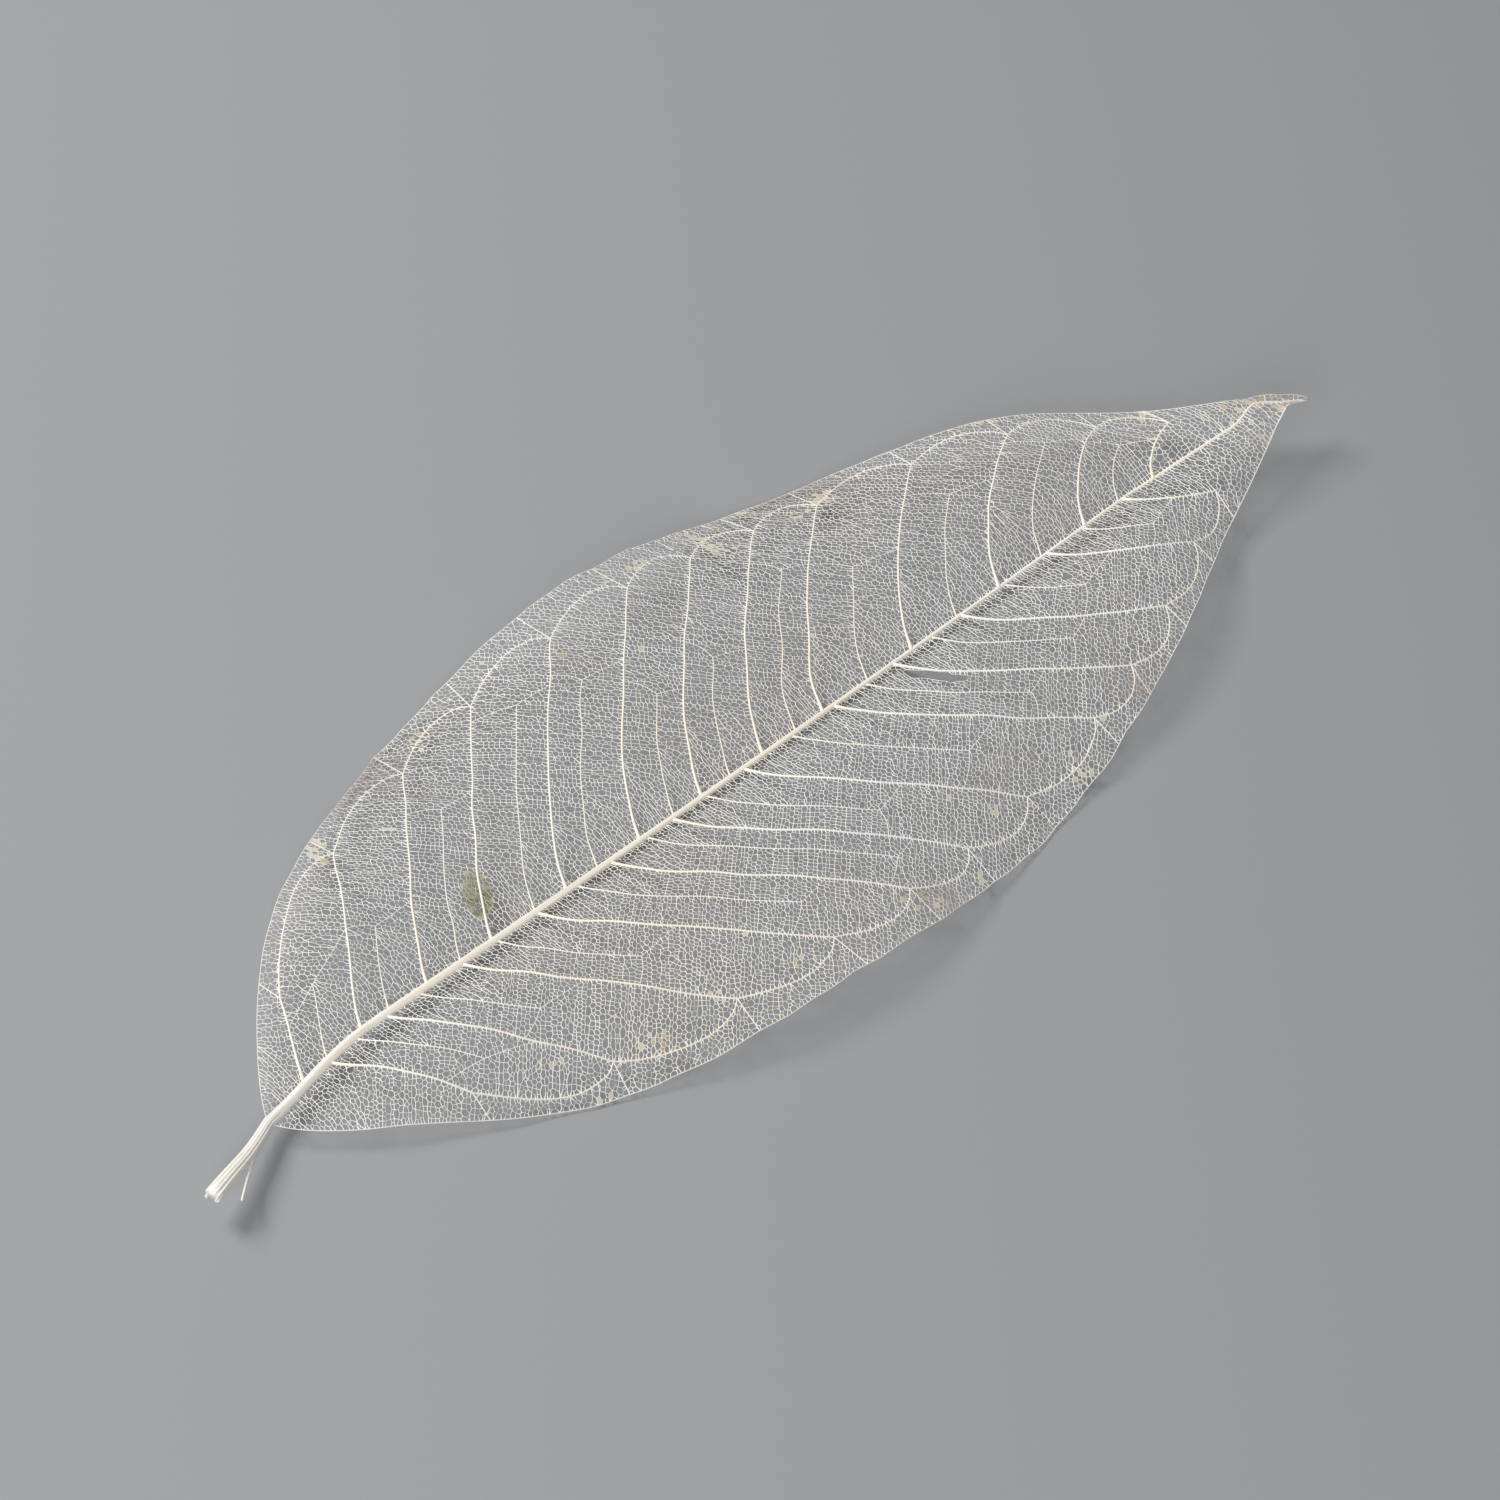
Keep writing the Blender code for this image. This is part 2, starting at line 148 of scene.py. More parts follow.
def cad_midrib_radius(along):
    """Radius of the CAD model's midrib, which is stouter towards the tip than a real one."""
    share = clamped(along / BLADE_LENGTH)
    radius = MIDRIB_BASE_RADIUS + (MIDRIB_TIP_RADIUS - MIDRIB_BASE_RADIUS) * share**CAD_TAPER
    flared = smoothstep(*CAD_FLARES, along)
    return radius + (STALK_END_RADIUS - MIDRIB_BASE_RADIUS) * flared


def spine_height(along):
    """Height of the midrib's centre line above the surface that the leaf lies on."""
    seat = math.cos(math.pi / CAD_MIDRIB_SIDES) * cad_midrib_radius(along) - PRESSED_IN
    to_base = max(REST_SPOT_AT - FLAT_STRETCH - along, 0.0) / REST_SPOT_AT
    to_tip = max(along - REST_SPOT_AT - FLAT_STRETCH, 0.0) / (BLADE_LENGTH - REST_SPOT_AT)
    arch = BASE_ARCH * to_base**BASE_ARCH_CURVE + TIP_ARCH * to_tip**TIP_ARCH_CURVE
    stalk = STALK_RISE * smoothstep(*STALK_RISES, along)
    curl = TIP_RISE * smoothstep(*TIP_RISES, along)
    nod = TIP_NOD * smoothstep(*TIP_NODS, along)
    return seat + arch + stalk + curl - nod


heights = [spine_height(along) for along in (-STALK_LENGTH, 0.0, REST_SPOT_AT, BLADE_LENGTH)]
print("midrib above the surface at stalk end, base, rest spot and tip, in mm:",
      [round(height / MM, 1) for height in heights])

# %% Waves of the blade
BILLOW = 2.8 * MM
MARGIN_WAVE = 4.2 * MM
LOW_POINTS = {1: (42.0 * MM, 62.0 * MM), -1: (28.0 * MM, 66.0 * MM)}
MARGIN_SEAT = 0.29 * MM
CRINKLE = 0.30 * MM
CRINKLE_SIZE = 9.0 * MM


def margin_height(along, side):
    """Height of the blade's edge, which touches the surface at low points and lifts between."""
    first_low, wave_length = LOW_POINTS[side]
    wave = 0.5 - 0.5 * math.cos(2.0 * math.pi * (along - first_low) / wave_length)
    return MARGIN_SEAT + MARGIN_WAVE * wave


def crinkle(along, across):
    """The fine unevenness of a dried blade, which fades out at the midrib."""
    place = Vector((along, across, 0.0)) / CRINKLE_SIZE
    return CRINKLE * noise.noise(place) * smoothstep(0.0, CRINKLE_SIZE, abs(across))


print("the margins wave between", round(MARGIN_SEAT / MM, 1), "and",
      round((MARGIN_SEAT + MARGIN_WAVE) / MM, 1), "mm above the surface")

# %% [markdown]
# The last few millimetres of the blade have rolled up and swung aside, which gives the tip its
# small beak. A flat place there is wound onto a circle that grows tighter towards the end, so
# that the net keeps its meshes and only turns.

# %% Roll of the tip
ROLL_FROM = 0.970 * BLADE_LENGTH
ROLL_TO = 0.988 * BLADE_LENGTH
ROLL_TURN = math.radians(70.0)
FLATTEST_ROLL = 0.001
NARROWEST_ROLL = 0.3 * MM
KINK = 1.3 * MM
KINK_FROM = 0.944 * BLADE_LENGTH
KINK_TO = 0.972 * BLADE_LENGTH
BEAK_SWING = 0.6 * MM
BEAK = 2.3 * MM
BEAK_CURVE = 1.3
BEAK_REACH = 1.5 * MM


def roll_tip(along, across):
    """Swing the end of the midrib aside, and roll the blade's end up into a small beak.

    The margins run on straight until they roll: before that, only the midrib between them swings.
    """
    rolls = smoothstep(ROLL_FROM, ROLL_TO, along)
    half = max(half_width(along), NARROWEST_ROLL)
    tightness = max(ROLL_TURN * rolls, FLATTEST_ROLL) / half
    angle = tightness * across
    rolled = Vector((0.0, math.sin(angle) / tightness, (1.0 - math.cos(angle)) / tightness))
    beak = max(along - KINK_TO, 0.0) / (BLADE_LENGTH - KINK_TO)
    inside = 1.0 - clamped(abs(across) / half)
    sideways = KINK * inside * (1.0 - rolls) * smoothstep(KINK_FROM, KINK_TO, along)
    sideways += BEAK_SWING * rolls - BEAK * beak**BEAK_CURVE
    return rolled + Vector((BEAK_REACH * beak, sideways, 0.0))


print("the beak's end swings aside by", round(roll_tip(BLADE_LENGTH, 0.0).y / MM, 1), "mm")

# %% Lay, which bends a flat place into the leaf
WAVES_FROM = 0.16 * BLADE_LENGTH
WAVES_TO = 0.78 * BLADE_LENGTH
CLEAR_OF_FLOOR = 0.06 * MM


def lay(along, across):
    """Bend a place on the flat blade into the leaf as it lies."""
    side = 1 if across >= 0.0 else -1
    outward = clamped(way_out(along, across))
    waves = smoothstep(0.0, WAVES_FROM, along) * smoothstep(BLADE_LENGTH, WAVES_TO, along)
    spine = spine_height(along)
    lift = (margin_height(along, side) - spine) * outward**2
    lift += BILLOW * math.sin(math.pi * outward)
    rolled = roll_tip(along, across)
    height = spine + lift * waves + crinkle(along, across) + rolled.z
    sideways = rolled.y + midrib_bend(along)
    forward = along + rolled.x - REST_SPOT_AT
    return Vector((forward, sideways, max(height, CLEAR_OF_FLOOR)))


print("rest spot lies at", [round(1000 * x, 2) for x in lay(REST_SPOT_AT, 0.0)], "mm")

# %% [markdown]
# Veins divide the blade again and again: the midrib cuts it in two, side veins cut the halves
# into fields, and ever finer threads cut those into meshes. The net is made the same way, as one
# flat mesh whose cells are split from corner to corner. Each new edge remembers its rank, from
# the midrib down to the finest thread, and the rank later gives its thickness.

# %% Ranks, and the split that everything else uses
MIDRIB, SIDE, BETWEEN, MARGIN, FORK, CROSS, RUNG, NET = range(1, 9)


def split_face(net, face, start, end, through, rank):
    """Cut a cell from one corner to another through the points given, and rank the new vein."""
    layer = net.edges.layers.int["rank"]
    new_face, _ = bmesh.utils.face_split(face, start, end, coords=through)
    for edge in new_face.edges:
        if face in edge.link_faces and edge[layer] == 0:
            edge[layer] = rank
    return new_face


def corner_at(corners, along, across):
    """The corner nearest to a place on the flat blade."""
    place = Vector((along, across, 0.0))
    return min(corners, key=lambda corner: (corner.co - place).length)


print("ranks run from", MIDRIB, "for the midrib to", NET, "for the finest thread")

# %% The outline and the midrib
OUTLINE_STEPS = 260
RAGGED = 0.012
RAGGED_SIZE = 4.5 * MM
MARGINS_APART = 5.0
LEAVES = {
    1: (0.04, 0.10, 0.16, 0.22, 0.29, 0.36, 0.42, 0.48, 0.54, 0.63, 0.72, 0.81, 0.88),
    -1: (0.065, 0.12, 0.19, 0.26, 0.33, 0.39, 0.46, 0.55, 0.61, 0.68, 0.77, 0.85),
}


def halfway_places(side):
    """Where the thinner veins between the side veins leave the midrib."""
    shares = LEAVES[side]
    return [0.5 * (one + other) for one, other in zip(shares, shares[1:])]


def outline_net():
    """Start the flat net as one cell with the leaf's outline, cut in two by the midrib."""
    net = bmesh.new()
    net.faces.layers.int.new("towards_tip")
    layer = net.edges.layers.int.new("rank")
    ring = bmesh.ops.create_circle(net, cap_ends=True, segments=OUTLINE_STEPS, radius=1.0)["verts"]
    for corner in ring:
        along = 0.5 * BLADE_LENGTH * (1.0 - corner.co.y)
        side = math.copysign(1.0, corner.co.x)
        place = Vector((along / RAGGED_SIZE, MARGINS_APART * side, 0.0))
        uneven = 1.0 + RAGGED * noise.noise(place)
        corner.co = (along, side * half_width(along) * uneven, 0.0)
    for edge in net.edges:
        edge[layer] = MARGIN
    base = corner_at(ring, 0.0, 0.0)
    tip = corner_at(ring, BLADE_LENGTH, 0.0)
    leaves = sorted([*LEAVES[1], *LEAVES[-1], *halfway_places(1), *halfway_places(-1)])
    midrib = [Vector((share * BLADE_LENGTH, 0.0, 0.0)) for share in leaves]
    split_face(net, base.link_faces[0], base, tip, midrib, MIDRIB)
    return net, base


net, base = outline_net()
print("outline and midrib have", len(net.verts), "corners, with", len(net.faces), "halves")

# %% [markdown]
# A side vein leaves the midrib steeply and soon bends towards the tip. Just before the margin it
# turns at a corner, and runs along the margin in a loop to the corner of the vein ahead of it. A
# few places fix its course, and a Catmull-Rom curve through them gives the smooth line that a
# vein has. The vein and its loop are two curves, so that the corner between them stays sharp.

# %% Courses of the side veins
LEAVING_ANGLE = math.radians(72.0)
OUTER_ANGLE = math.radians(43.0)
BENDS_WITHIN = 0.24
SIDE_VEIN_STEPS = (0.12, 0.24, 0.48, 0.70, 0.88, 1.0)
LOOP_AT = 0.84
MARGIN_STRIP = 3.4 * MM
LOOP_BULGE = 2.0 * MM
LOOP_STEPS = ((0.30, 0.72), (0.62, 1.00), (0.88, 0.62))


def loop_line(along):
    """Distance from the midrib at which the side veins turn and loop along the margin."""
    return min(LOOP_AT * half_width(along), half_width(along) - MARGIN_STRIP)


def vein_angle(outward):
    """Angle between a side vein and the midrib at a share of the way out."""
    return OUTER_ANGLE + (LEAVING_ANGLE - OUTER_ANGLE) * math.exp(-outward / BENDS_WITHIN)


def side_vein_places(leaves_at, side):
    """The places that fix a side vein's course, from the midrib to its turn."""
    along = leaves_at
    places = [Vector((along, 0.0, 0.0))]
    last_step = 0.0
    for step in SIDE_VEIN_STEPS:
        angle = vein_angle(0.5 * (step + last_step))
        along += (step - last_step) * loop_line(along) / math.tan(angle)
        places.append(Vector((along, side * step * loop_line(along), 0.0)))
        last_step = step
    return places


def loop_places(turn, joins, side):
    """The places that fix a loop, from a vein's turn to the turn of the vein ahead of it."""
    places = [turn]
    for share, bulge in LOOP_STEPS:
        along = turn.x + share * (joins.x - turn.x)
        places.append(Vector((along, side * (loop_line(along) + bulge * LOOP_BULGE), 0.0)))
    return [*places, joins]


print("side veins leave at", round(math.degrees(vein_angle(0.0))), "degrees and turn at",
      round(math.degrees(vein_angle(1.0))))

# %% Smooth curves through the places
CURVE_STEPS = 5
TURN_AT = CURVE_STEPS * len(SIDE_VEIN_STEPS)
UNSTEADY = 0.40 * MM
UNSTEADY_SIZE = 5.5 * MM


def unsteady(place):
    """Shift a place a little, as no vein runs quite smoothly."""
    aside = noise.noise(place / UNSTEADY_SIZE) * smoothstep(0.0, UNSTEADY_SIZE, abs(place.y))
    return place + Vector((UNSTEADY * aside, 0.0, 0.0))


def smooth_course(places):
    """A Catmull-Rom curve through the places, with CURVE_STEPS points for each stretch."""
    course = []
    for index in range(len(places) - 1):
        before = places[max(index - 1, 0)]
        here, there = places[index], places[index + 1]
        after = places[min(index + 2, len(places) - 1)]
        for step in range(CURVE_STEPS):
            t = step / CURVE_STEPS
            course.append(0.5 * (2.0 * here + (there - before) * t
                                 + (2.0 * before - 5.0 * here + 4.0 * there - after) * t**2
                                 + (3.0 * here - before - 3.0 * there + after) * t**3))
    return [*course, places[-1]]


print("a side vein has", TURN_AT + 1, "points from the midrib to its turn")

# %% Cut one half of the blade by its side veins
FOOT_BEHIND = 0.4 * MM
TIP_PART_FROM = 0.42


def base_cell(one, other, base):
    """Which of two cells reaches the base of the blade."""
    return one if base in one.verts else other


def grow_side_veins(net, base, side):
    """Cut one half of the blade by its side veins, from the tip down to the base."""
    towards_tip = net.faces.layers.int["towards_tip"]
    outer = next(face for face in base.link_faces if side * face.calc_center_median().y > 0.0)
    courses = []
    turn_ahead = None
    for share in reversed(LEAVES[side]):
        places = side_vein_places(share * BLADE_LENGTH, side)
        turn = places[-1]
        foot = Vector((turn.x - FOOT_BEHIND, side * half_width(turn.x - FOOT_BEHIND), 0.0))
        loop = loop_places(turn, turn_ahead, side) if courses else [turn, foot]
        turn_ahead = turn
        course = [*map(unsteady, smooth_course(places)[:-1] + smooth_course(loop))]
        start = corner_at(outer.verts, course[0].x, 0.0)
        end = corner_at(outer.verts, *course[-1].xy)
        outer[towards_tip] = share >= TIP_PART_FROM
        new_face = split_face(net, outer, start, end, course[1:-1], SIDE)
        outer = base_cell(new_face, outer, base)
        if courses:
            top = corner_at(outer.verts, *course[TURN_AT].xy)
            end = corner_at(outer.verts, *foot.xy)
            outer = base_cell(split_face(net, outer, top, end, [], BETWEEN), outer, base)
        courses.append(course)
    outer[towards_tip] = False
    return courses


# %% [markdown]
# Between each pair of side veins a thinner one leaves the midrib, runs part of the way out and
# forks into two threads, one to the vein ahead and one to the vein behind. It is laid between
# its neighbours' courses, so it follows their bend without any curve of its own.

# %% Thinner veins between the side veins
BETWEEN_REACH = (0.46, 0.80)
BETWEEN_LEAN = (0.42, 0.58)
BETWEEN_PLACES = 5
ON_MIDRIB = 0.01 * MM
FORK_OUT = 3
FORK_BOW = 0.35 * MM


def common_cell(one, other):
    """The cell that has both corners."""
    shared = set(one.link_faces) & set(other.link_faces)
    return min(shared, key=lambda face: face.calc_area())


def fork_course(bend, joins):
    """A bowed thread from the end of a thinner vein to the side vein that it joins."""
    middle = bend.lerp(joins, 0.5) + Vector((FORK_BOW, 0.0, 0.0))
    return smooth_course([bend, middle, joins])


def grow_between(net, courses, rng):
    """Between each pair of side veins a thinner one runs out, and forks into two threads."""
    layer = net.edges.layers.int["rank"]
    added = []
    forks = []
    for ahead, behind in zip(courses, courses[1:]):
        last = round(rng.uniform(*BETWEEN_REACH) * TURN_AT)
        lean = rng.uniform(*BETWEEN_LEAN)
        stops = [round(last * index / BETWEEN_PLACES) for index in range(BETWEEN_PLACES + 1)]
        places = [behind[stop].lerp(ahead[stop], lean) for stop in stops]
        joins = ahead[last - 1]
        course = [*map(unsteady, smooth_course(places))]
        bend = course[-1]
        tail = fork_course(bend, joins)
        start = corner_at([v for v in net.verts if abs(v.co.y) < ON_MIDRIB], course[0].x, 0.0)
        end = corner_at(net.verts, *joins.xy)
        field = common_cell(start, end)
        new_face = split_face(net, field, start, end, course[1:] + tail[1:-1], BETWEEN)
        faded = {tuple(place) for place in [*tail, end.co]}
        for edge in new_face.edges:
            if edge[layer] == BETWEEN and all(tuple(v.co) in faded for v in edge.verts):
                edge[layer] = FORK
        fork = corner_at(new_face.verts, *bend.xy)
        prong = corner_at(net.verts, *behind[min(last + FORK_OUT, TURN_AT)].xy)
        other_tail = fork_course(bend, prong.co.copy())
        split_face(net, common_cell(fork, prong), fork, prong, other_tail[1:-1], FORK)
        added.append(course)
        forks += [other_tail, tail]
    return added, forks


# %% Grow the veins of both halves
SEED = 11
rng = random.Random(SEED)
side_courses = []
between_courses = []
fork_courses = []
for side in (1, -1):
    courses = grow_side_veins(net, base, side)
    side_courses += courses
    added, forks = grow_between(net, courses, rng)
    between_courses += added
    fork_courses += forks
print(len(side_courses), "side veins,", len(between_courses), "between them with",
      len(fork_courses), "forks,", len(net.faces), "fields")

# %% [markdown]
# The threads of a real net aren't drawn at random: beside the midrib they stand out from it like
# the teeth of a comb, and further out the meshes are drawn out across the side veins, like the
# rungs of a ladder. So a cell isn't simply halved across its long way. It is measured as if it
# were squeezed along the grain of the net, and so it is cut along the grain more often.

# %% Grain of the net, and the line that halves a cell
COMB_WIDTH = 3.2 * MM
COMB_SQUEEZE = 0.24
RUNG_SQUEEZE = 0.27
NET_SQUEEZE = 0.92
RUNG_AREA = 3.1 * MM**2
CUT_SHIFT = 0.12
CUT_TURN = 0.20


def grain_at(place, area):
    """Direction in which the meshes are drawn out at a place, and how strongly."""
    side = 1.0 if place.y > 0.0 else -1.0
    outward = clamped(way_out(*place.xy))
    away = smoothstep(COMB_WIDTH, 2.0 * COMB_WIDTH, abs(place.y))
    lean = away * vein_angle(outward)
    squeeze = COMB_SQUEEZE + away * (RUNG_SQUEEZE - COMB_SQUEEZE)
    if area < RUNG_AREA:
        squeeze = NET_SQUEEZE
    return Vector((-math.sin(lean), side * math.cos(lean), 0.0)), squeeze


def cutting_line(face, rng):
    """Choose the line that halves a cell: a point and a direction."""
    centre = face.calc_center_median_weighted()
    grain, squeeze = grain_at(centre, face.calc_area())
    cross = Vector((-grain.y, grain.x, 0.0))
    spread_grain = spread_cross = spread_both = 0.0
    for loop in face.loops:
        middle = (loop.vert.co + loop.link_loop_next.vert.co) * 0.5 - centre
        weight = loop.edge.calc_length()
        by_grain = squeeze * middle.dot(grain)
        by_cross = middle.dot(cross)
        spread_grain += weight * by_grain**2
        spread_cross += weight * by_cross**2
        spread_both += weight * by_grain * by_cross
    long_way = 0.5 * math.atan2(2.0 * spread_both, spread_grain - spread_cross)
    shift = math.sqrt(face.calc_area()) * rng.uniform(-CUT_SHIFT, CUT_SHIFT)
    centre += shift * (math.cos(long_way) * grain + math.sin(long_way) * cross)
    cut = long_way + 0.5 * math.pi + rng.uniform(-CUT_TURN, CUT_TURN)
    direction = math.cos(cut) / squeeze * grain + math.sin(cut) * cross
    return centre, direction.normalized()


areas = sorted(face.calc_area() / MM**2 for face in net.faces)
print("fields measure", round(areas[0], 1), "to", round(areas[-1], 1), "mm2")

# %% Halve a cell
SNAP = 0.10 * MM


def crossings(face, centre, direction):
    """Where a line crosses a cell's border: place on the line, edge, the edge's start, share."""
    found = []
    normal = Vector((-direction.y, direction.x, 0.0))
    for loop in face.loops:
        start = loop.vert
        end = loop.link_loop_next.vert
        before = (start.co - centre).dot(normal)
        after = (end.co - centre).dot(normal)
        if (before < 0.0) != (after < 0.0):
            share = before / (before - after)
            place = (start.co.lerp(end.co, share) - centre).dot(direction)
            found.append((place, loop.edge, start, share))
    return sorted(found, key=lambda crossing: crossing[0])


def corner_on(edge, start, share):
    """A corner at a place on an edge: one of its ends where that is close, or else a new one."""
    length = edge.calc_length()
    if share * length < SNAP:
        return start
    if (1.0 - share) * length < SNAP:
        return edge.other_vert(start)
    return bmesh.utils.edge_split(edge, start, share)[1]


def halve(net, face, rank, rng):
    """Cut a cell in two. Returns the new cell, or None where it can't be cut."""
    found = crossings(face, *cutting_line(face, rng))
    spans = list(zip(found[0::2], found[1::2]))
    if not spans:
        return None
    near, far = min(spans, key=lambda span: max(span[0][0], -span[1][0], 0.0))
    start = corner_on(*near[1:])
    end = corner_on(*far[1:])
    if start is end or net.edges.get((start, end)) is not None:
        return None
    return split_face(net, face, start, end, [], rank)


# %% Grow the whole net
CROSS_AREA = 10.0 * MM**2
MESH_AREA = 0.26 * MM**2
SMALL_ENOUGH = (1.35, 1.75)
LONGEST_ROUND = 3.6 * MM


def cut_rank(area):
    """Rank of the thread that halves a cell: the larger the cell, the stouter the thread."""
    if area > CROSS_AREA:
        return CROSS
    return RUNG if area > RUNG_AREA else NET


def grow_net(net, rng):
    """Halve every cell again and again until it is small enough, and not a long narrow slot."""
    waiting = list(net.faces)
    while waiting:
        face = waiting.pop()
        area = face.calc_area()
        small = area < MESH_AREA * rng.uniform(*SMALL_ENOUGH)
        if small and face.calc_perimeter() < LONGEST_ROUND:
            continue
        new_face = halve(net, face, cut_rank(area), rng)
        if new_face is not None:
            waiting += [face, new_face]


grow_net(net, rng)
print(len(net.faces), "meshes in the net")

# %% [markdown]
# Straight cuts look like cracks in glass. Real threads pull on each other while the leaf grows,
# so their corners are smoothed towards their neighbours a few times, while the strong veins and
# the margin stay where they are. Very short threads are welded away first.

# %% Relax the net
SHORTEST_THREAD = 0.12 * MM
PULLING_TIMES = 3
PULL = 0.5


def corner_rank(corner, layer):
    """Rank of the strongest vein that meets at a corner."""
    return min(edge[layer] for edge in corner.link_edges)


def weld_short_threads(net):
    """Weld the two ends of each thread that is too short to be seen as one."""
    layer = net.edges.layers.int["rank"]
    short = [edge for edge in net.edges if edge.calc_length() < SHORTEST_THREAD]
    targets = {}
    taken = set()
    for edge in sorted(short, key=lambda item: item.calc_length()):
        corners = sorted(edge.verts, key=lambda corner: corner_rank(corner, layer))
        stays, goes = sorted(corners, key=lambda corner: not corner.is_boundary)
        if stays not in taken and goes not in taken:
            targets[goes] = stays
            taken |= {stays, goes}
    bmesh.ops.weld_verts(net, targetmap=targets)


def relax_net(net):
    """Let the finer threads pull each other into rounder meshes."""
    layer = net.edges.layers.int["rank"]
    free = [corner for corner in net.verts if corner_rank(corner, layer) >= CROSS]
    for _ in range(PULLING_TIMES):
        bmesh.ops.smooth_vert(net, verts=free, factor=PULL, use_axis_x=True, use_axis_y=True)


weld_short_threads(net)
relax_net(net)
weld_short_threads(net)
print(len(net.faces), "meshes and", len(net.edges), "threads after smoothing")

# %% [markdown]
# A slit is torn beside one of the right-hand side veins, and a small hole lies further out.
# Where the net is torn, its cells are dissolved into one, so that no thread crosses the gap.

# %% Tear the slit and the hole
SLIT = (Vector((99.3 * MM, -5.0 * MM, 0.0)), 3.8 * MM, 0.72 * MM, math.radians(-58.0))
HOLE = (Vector((121.0 * MM, -4.6 * MM, 0.0)), 0.80 * MM, 0.45 * MM, math.radians(-20.0))


def within(place, middle, half_length, half_breadth, angle):
    """How far out in a turned ellipse a place lies: 0 in its middle and 1 on its line."""
    away = place - middle
    lengthwise = away.x * math.cos(angle) + away.y * math.sin(angle)
    sideways = away.y * math.cos(angle) - away.x * math.sin(angle)
    return math.hypot(lengthwise / half_length, sideways / half_breadth)


def tear(net, gap):
    """Dissolve the meshes whose middle lies in an ellipse into one gap."""
    torn = [face for face in net.faces if within(face.calc_center_median(), *gap) < 1.0]
    bmesh.ops.dissolve_faces(net, faces=torn, use_verts=True)
    return len(torn)


print("meshes torn open:", [tear(net, gap) for gap in (SLIT, HOLE)])

# %% [markdown]
# Smoothing can pinch a mesh until it ends in a needle or even turns over. The bars of the next
# step meet in a mitre, and at a needle a mitre shoots out for centimetres. In a real leaf two
# threads that come so close grow into one, so a pinched mesh is joined to its neighbour.

# %% Join pinched meshes to their neighbours
SHARPEST = math.radians(10.0)
JOINING_TIMES = 4


def sharpest_corner(face):
    """The corner at which a mesh is sharpest."""
    return min(face.loops, key=lambda loop: loop.calc_angle())


def pinched_meshes(net):
    """The meshes that end in a needle, or that have turned over."""
    return [face for face in net.faces
            if face.normal.z < 0.0 or sharpest_corner(face).calc_angle() < SHARPEST]


def join_pinched(net):
    """Take away the weaker thread at the sharpest corner of each pinched mesh."""
    layer = net.edges.layers.int["rank"]
    for face in pinched_meshes(net):
        if not face.is_valid:
            continue
        corner = sharpest_corner(face)
        weaker = max(corner.edge, corner.link_loop_prev.edge, key=lambda edge: edge[layer])
        if weaker[layer] >= CROSS and len(weaker.link_faces) == 2:
            bmesh.ops.dissolve_faces(net, faces=[*weaker.link_faces])
    net.normal_update()


print(len(pinched_meshes(net)), "pinched meshes")
for _ in range(JOINING_TIMES):
    join_pinched(net)
print(len(pinched_meshes(net)), "are left, and", len(net.faces), "meshes in all")

# %% [markdown]
# The Wireframe modifier turns each edge of the flat net into a bar with four sides, and a vertex
# group scales its thickness at every corner. It works best on the flat net, so the bars are
# bent into the leaf afterwards. A single mesh of this size is too heavy for most programs, so the
# net is cut into four pieces along the midrib and two side veins, whose tubes cover the seams.

# %% Parts of the net
NET_PARTS = {"net_left_base": (1, False), "net_left_tip": (1, True),
             "net_right_base": (-1, False), "net_right_tip": (-1, True)}


def part_of_net(net, side, tip):
    """A copy of the flat net that has one part of the blade."""
    part = net.copy()
    towards_tip = part.faces.layers.int["towards_tip"]
    other = [face for face in part.faces
             if side * face.calc_center_median().y < 0.0 or bool(face[towards_tip]) != tip]
    bmesh.ops.delete(part, geom=other, context="FACES")
    return part


parts = {name: part_of_net(net, *where) for name, where in NET_PARTS.items()}
print("meshes in each part:", {name: len(part.faces) for name, part in parts.items()})


# %% Objects of finished meshes
def new_object(name, shape):
    """Make an object of a finished bmesh."""
    mesh = bpy.data.meshes.new(name)
    shape.to_mesh(mesh)
    shape.free()
    thing = bpy.data.objects.new(name, mesh)
    bpy.context.scene.collection.objects.link(thing)
    return thing


def apply_modifiers(thing):
    """Give an object the mesh that its modifiers make, and take the modifiers off."""
    depsgraph = bpy.context.evaluated_depsgraph_get()
    finished = bpy.data.meshes.new_from_object(thing.evaluated_get(depsgraph))
    thing.modifiers.clear()
    thing.data = finished


# %% Bend a finished flat mesh into the leaf
OLIVE_PATCH = (Vector((37.5 * MM, 5.0 * MM, 0.0)), 2.9 * MM, 1.7 * MM, math.radians(60.0))
OLIVE_EDGE = (1.15, 0.85)
MAP_SIZE = 1.05 * BLADE_LENGTH
MAP_MARGIN = 0.02


def note_flat_places(mesh):
    """Keep where each corner lies on the flat blade: its share of the way out, and a map."""
    outward = mesh.attributes.new("outward", "FLOAT", "POINT")
    olive = mesh.attributes.new("olive", "FLOAT", "POINT")
    for index, corner in enumerate(mesh.vertices):
        outward.data[index].value = way_out(*corner.co.xy)
        olive.data[index].value = smoothstep(*OLIVE_EDGE, within(corner.co, *OLIVE_PATCH))
    flat_map = mesh.uv_layers.new(name="OFBake")
    for loop, place in zip(mesh.loops, flat_map.data):
        corner = mesh.vertices[loop.vertex_index].co
        place.uv = (corner.x / MAP_SIZE + MAP_MARGIN, corner.y / MAP_SIZE + 0.5)


def bend_into_leaf(mesh):
    """Bend a finished flat mesh, whose heights are above the flat blade, into the leaf."""
    note_flat_places(mesh)
    for corner in mesh.vertices:
        above = corner.co.z
        corner.co = lay(*corner.co.xy)
        corner.co.z += above


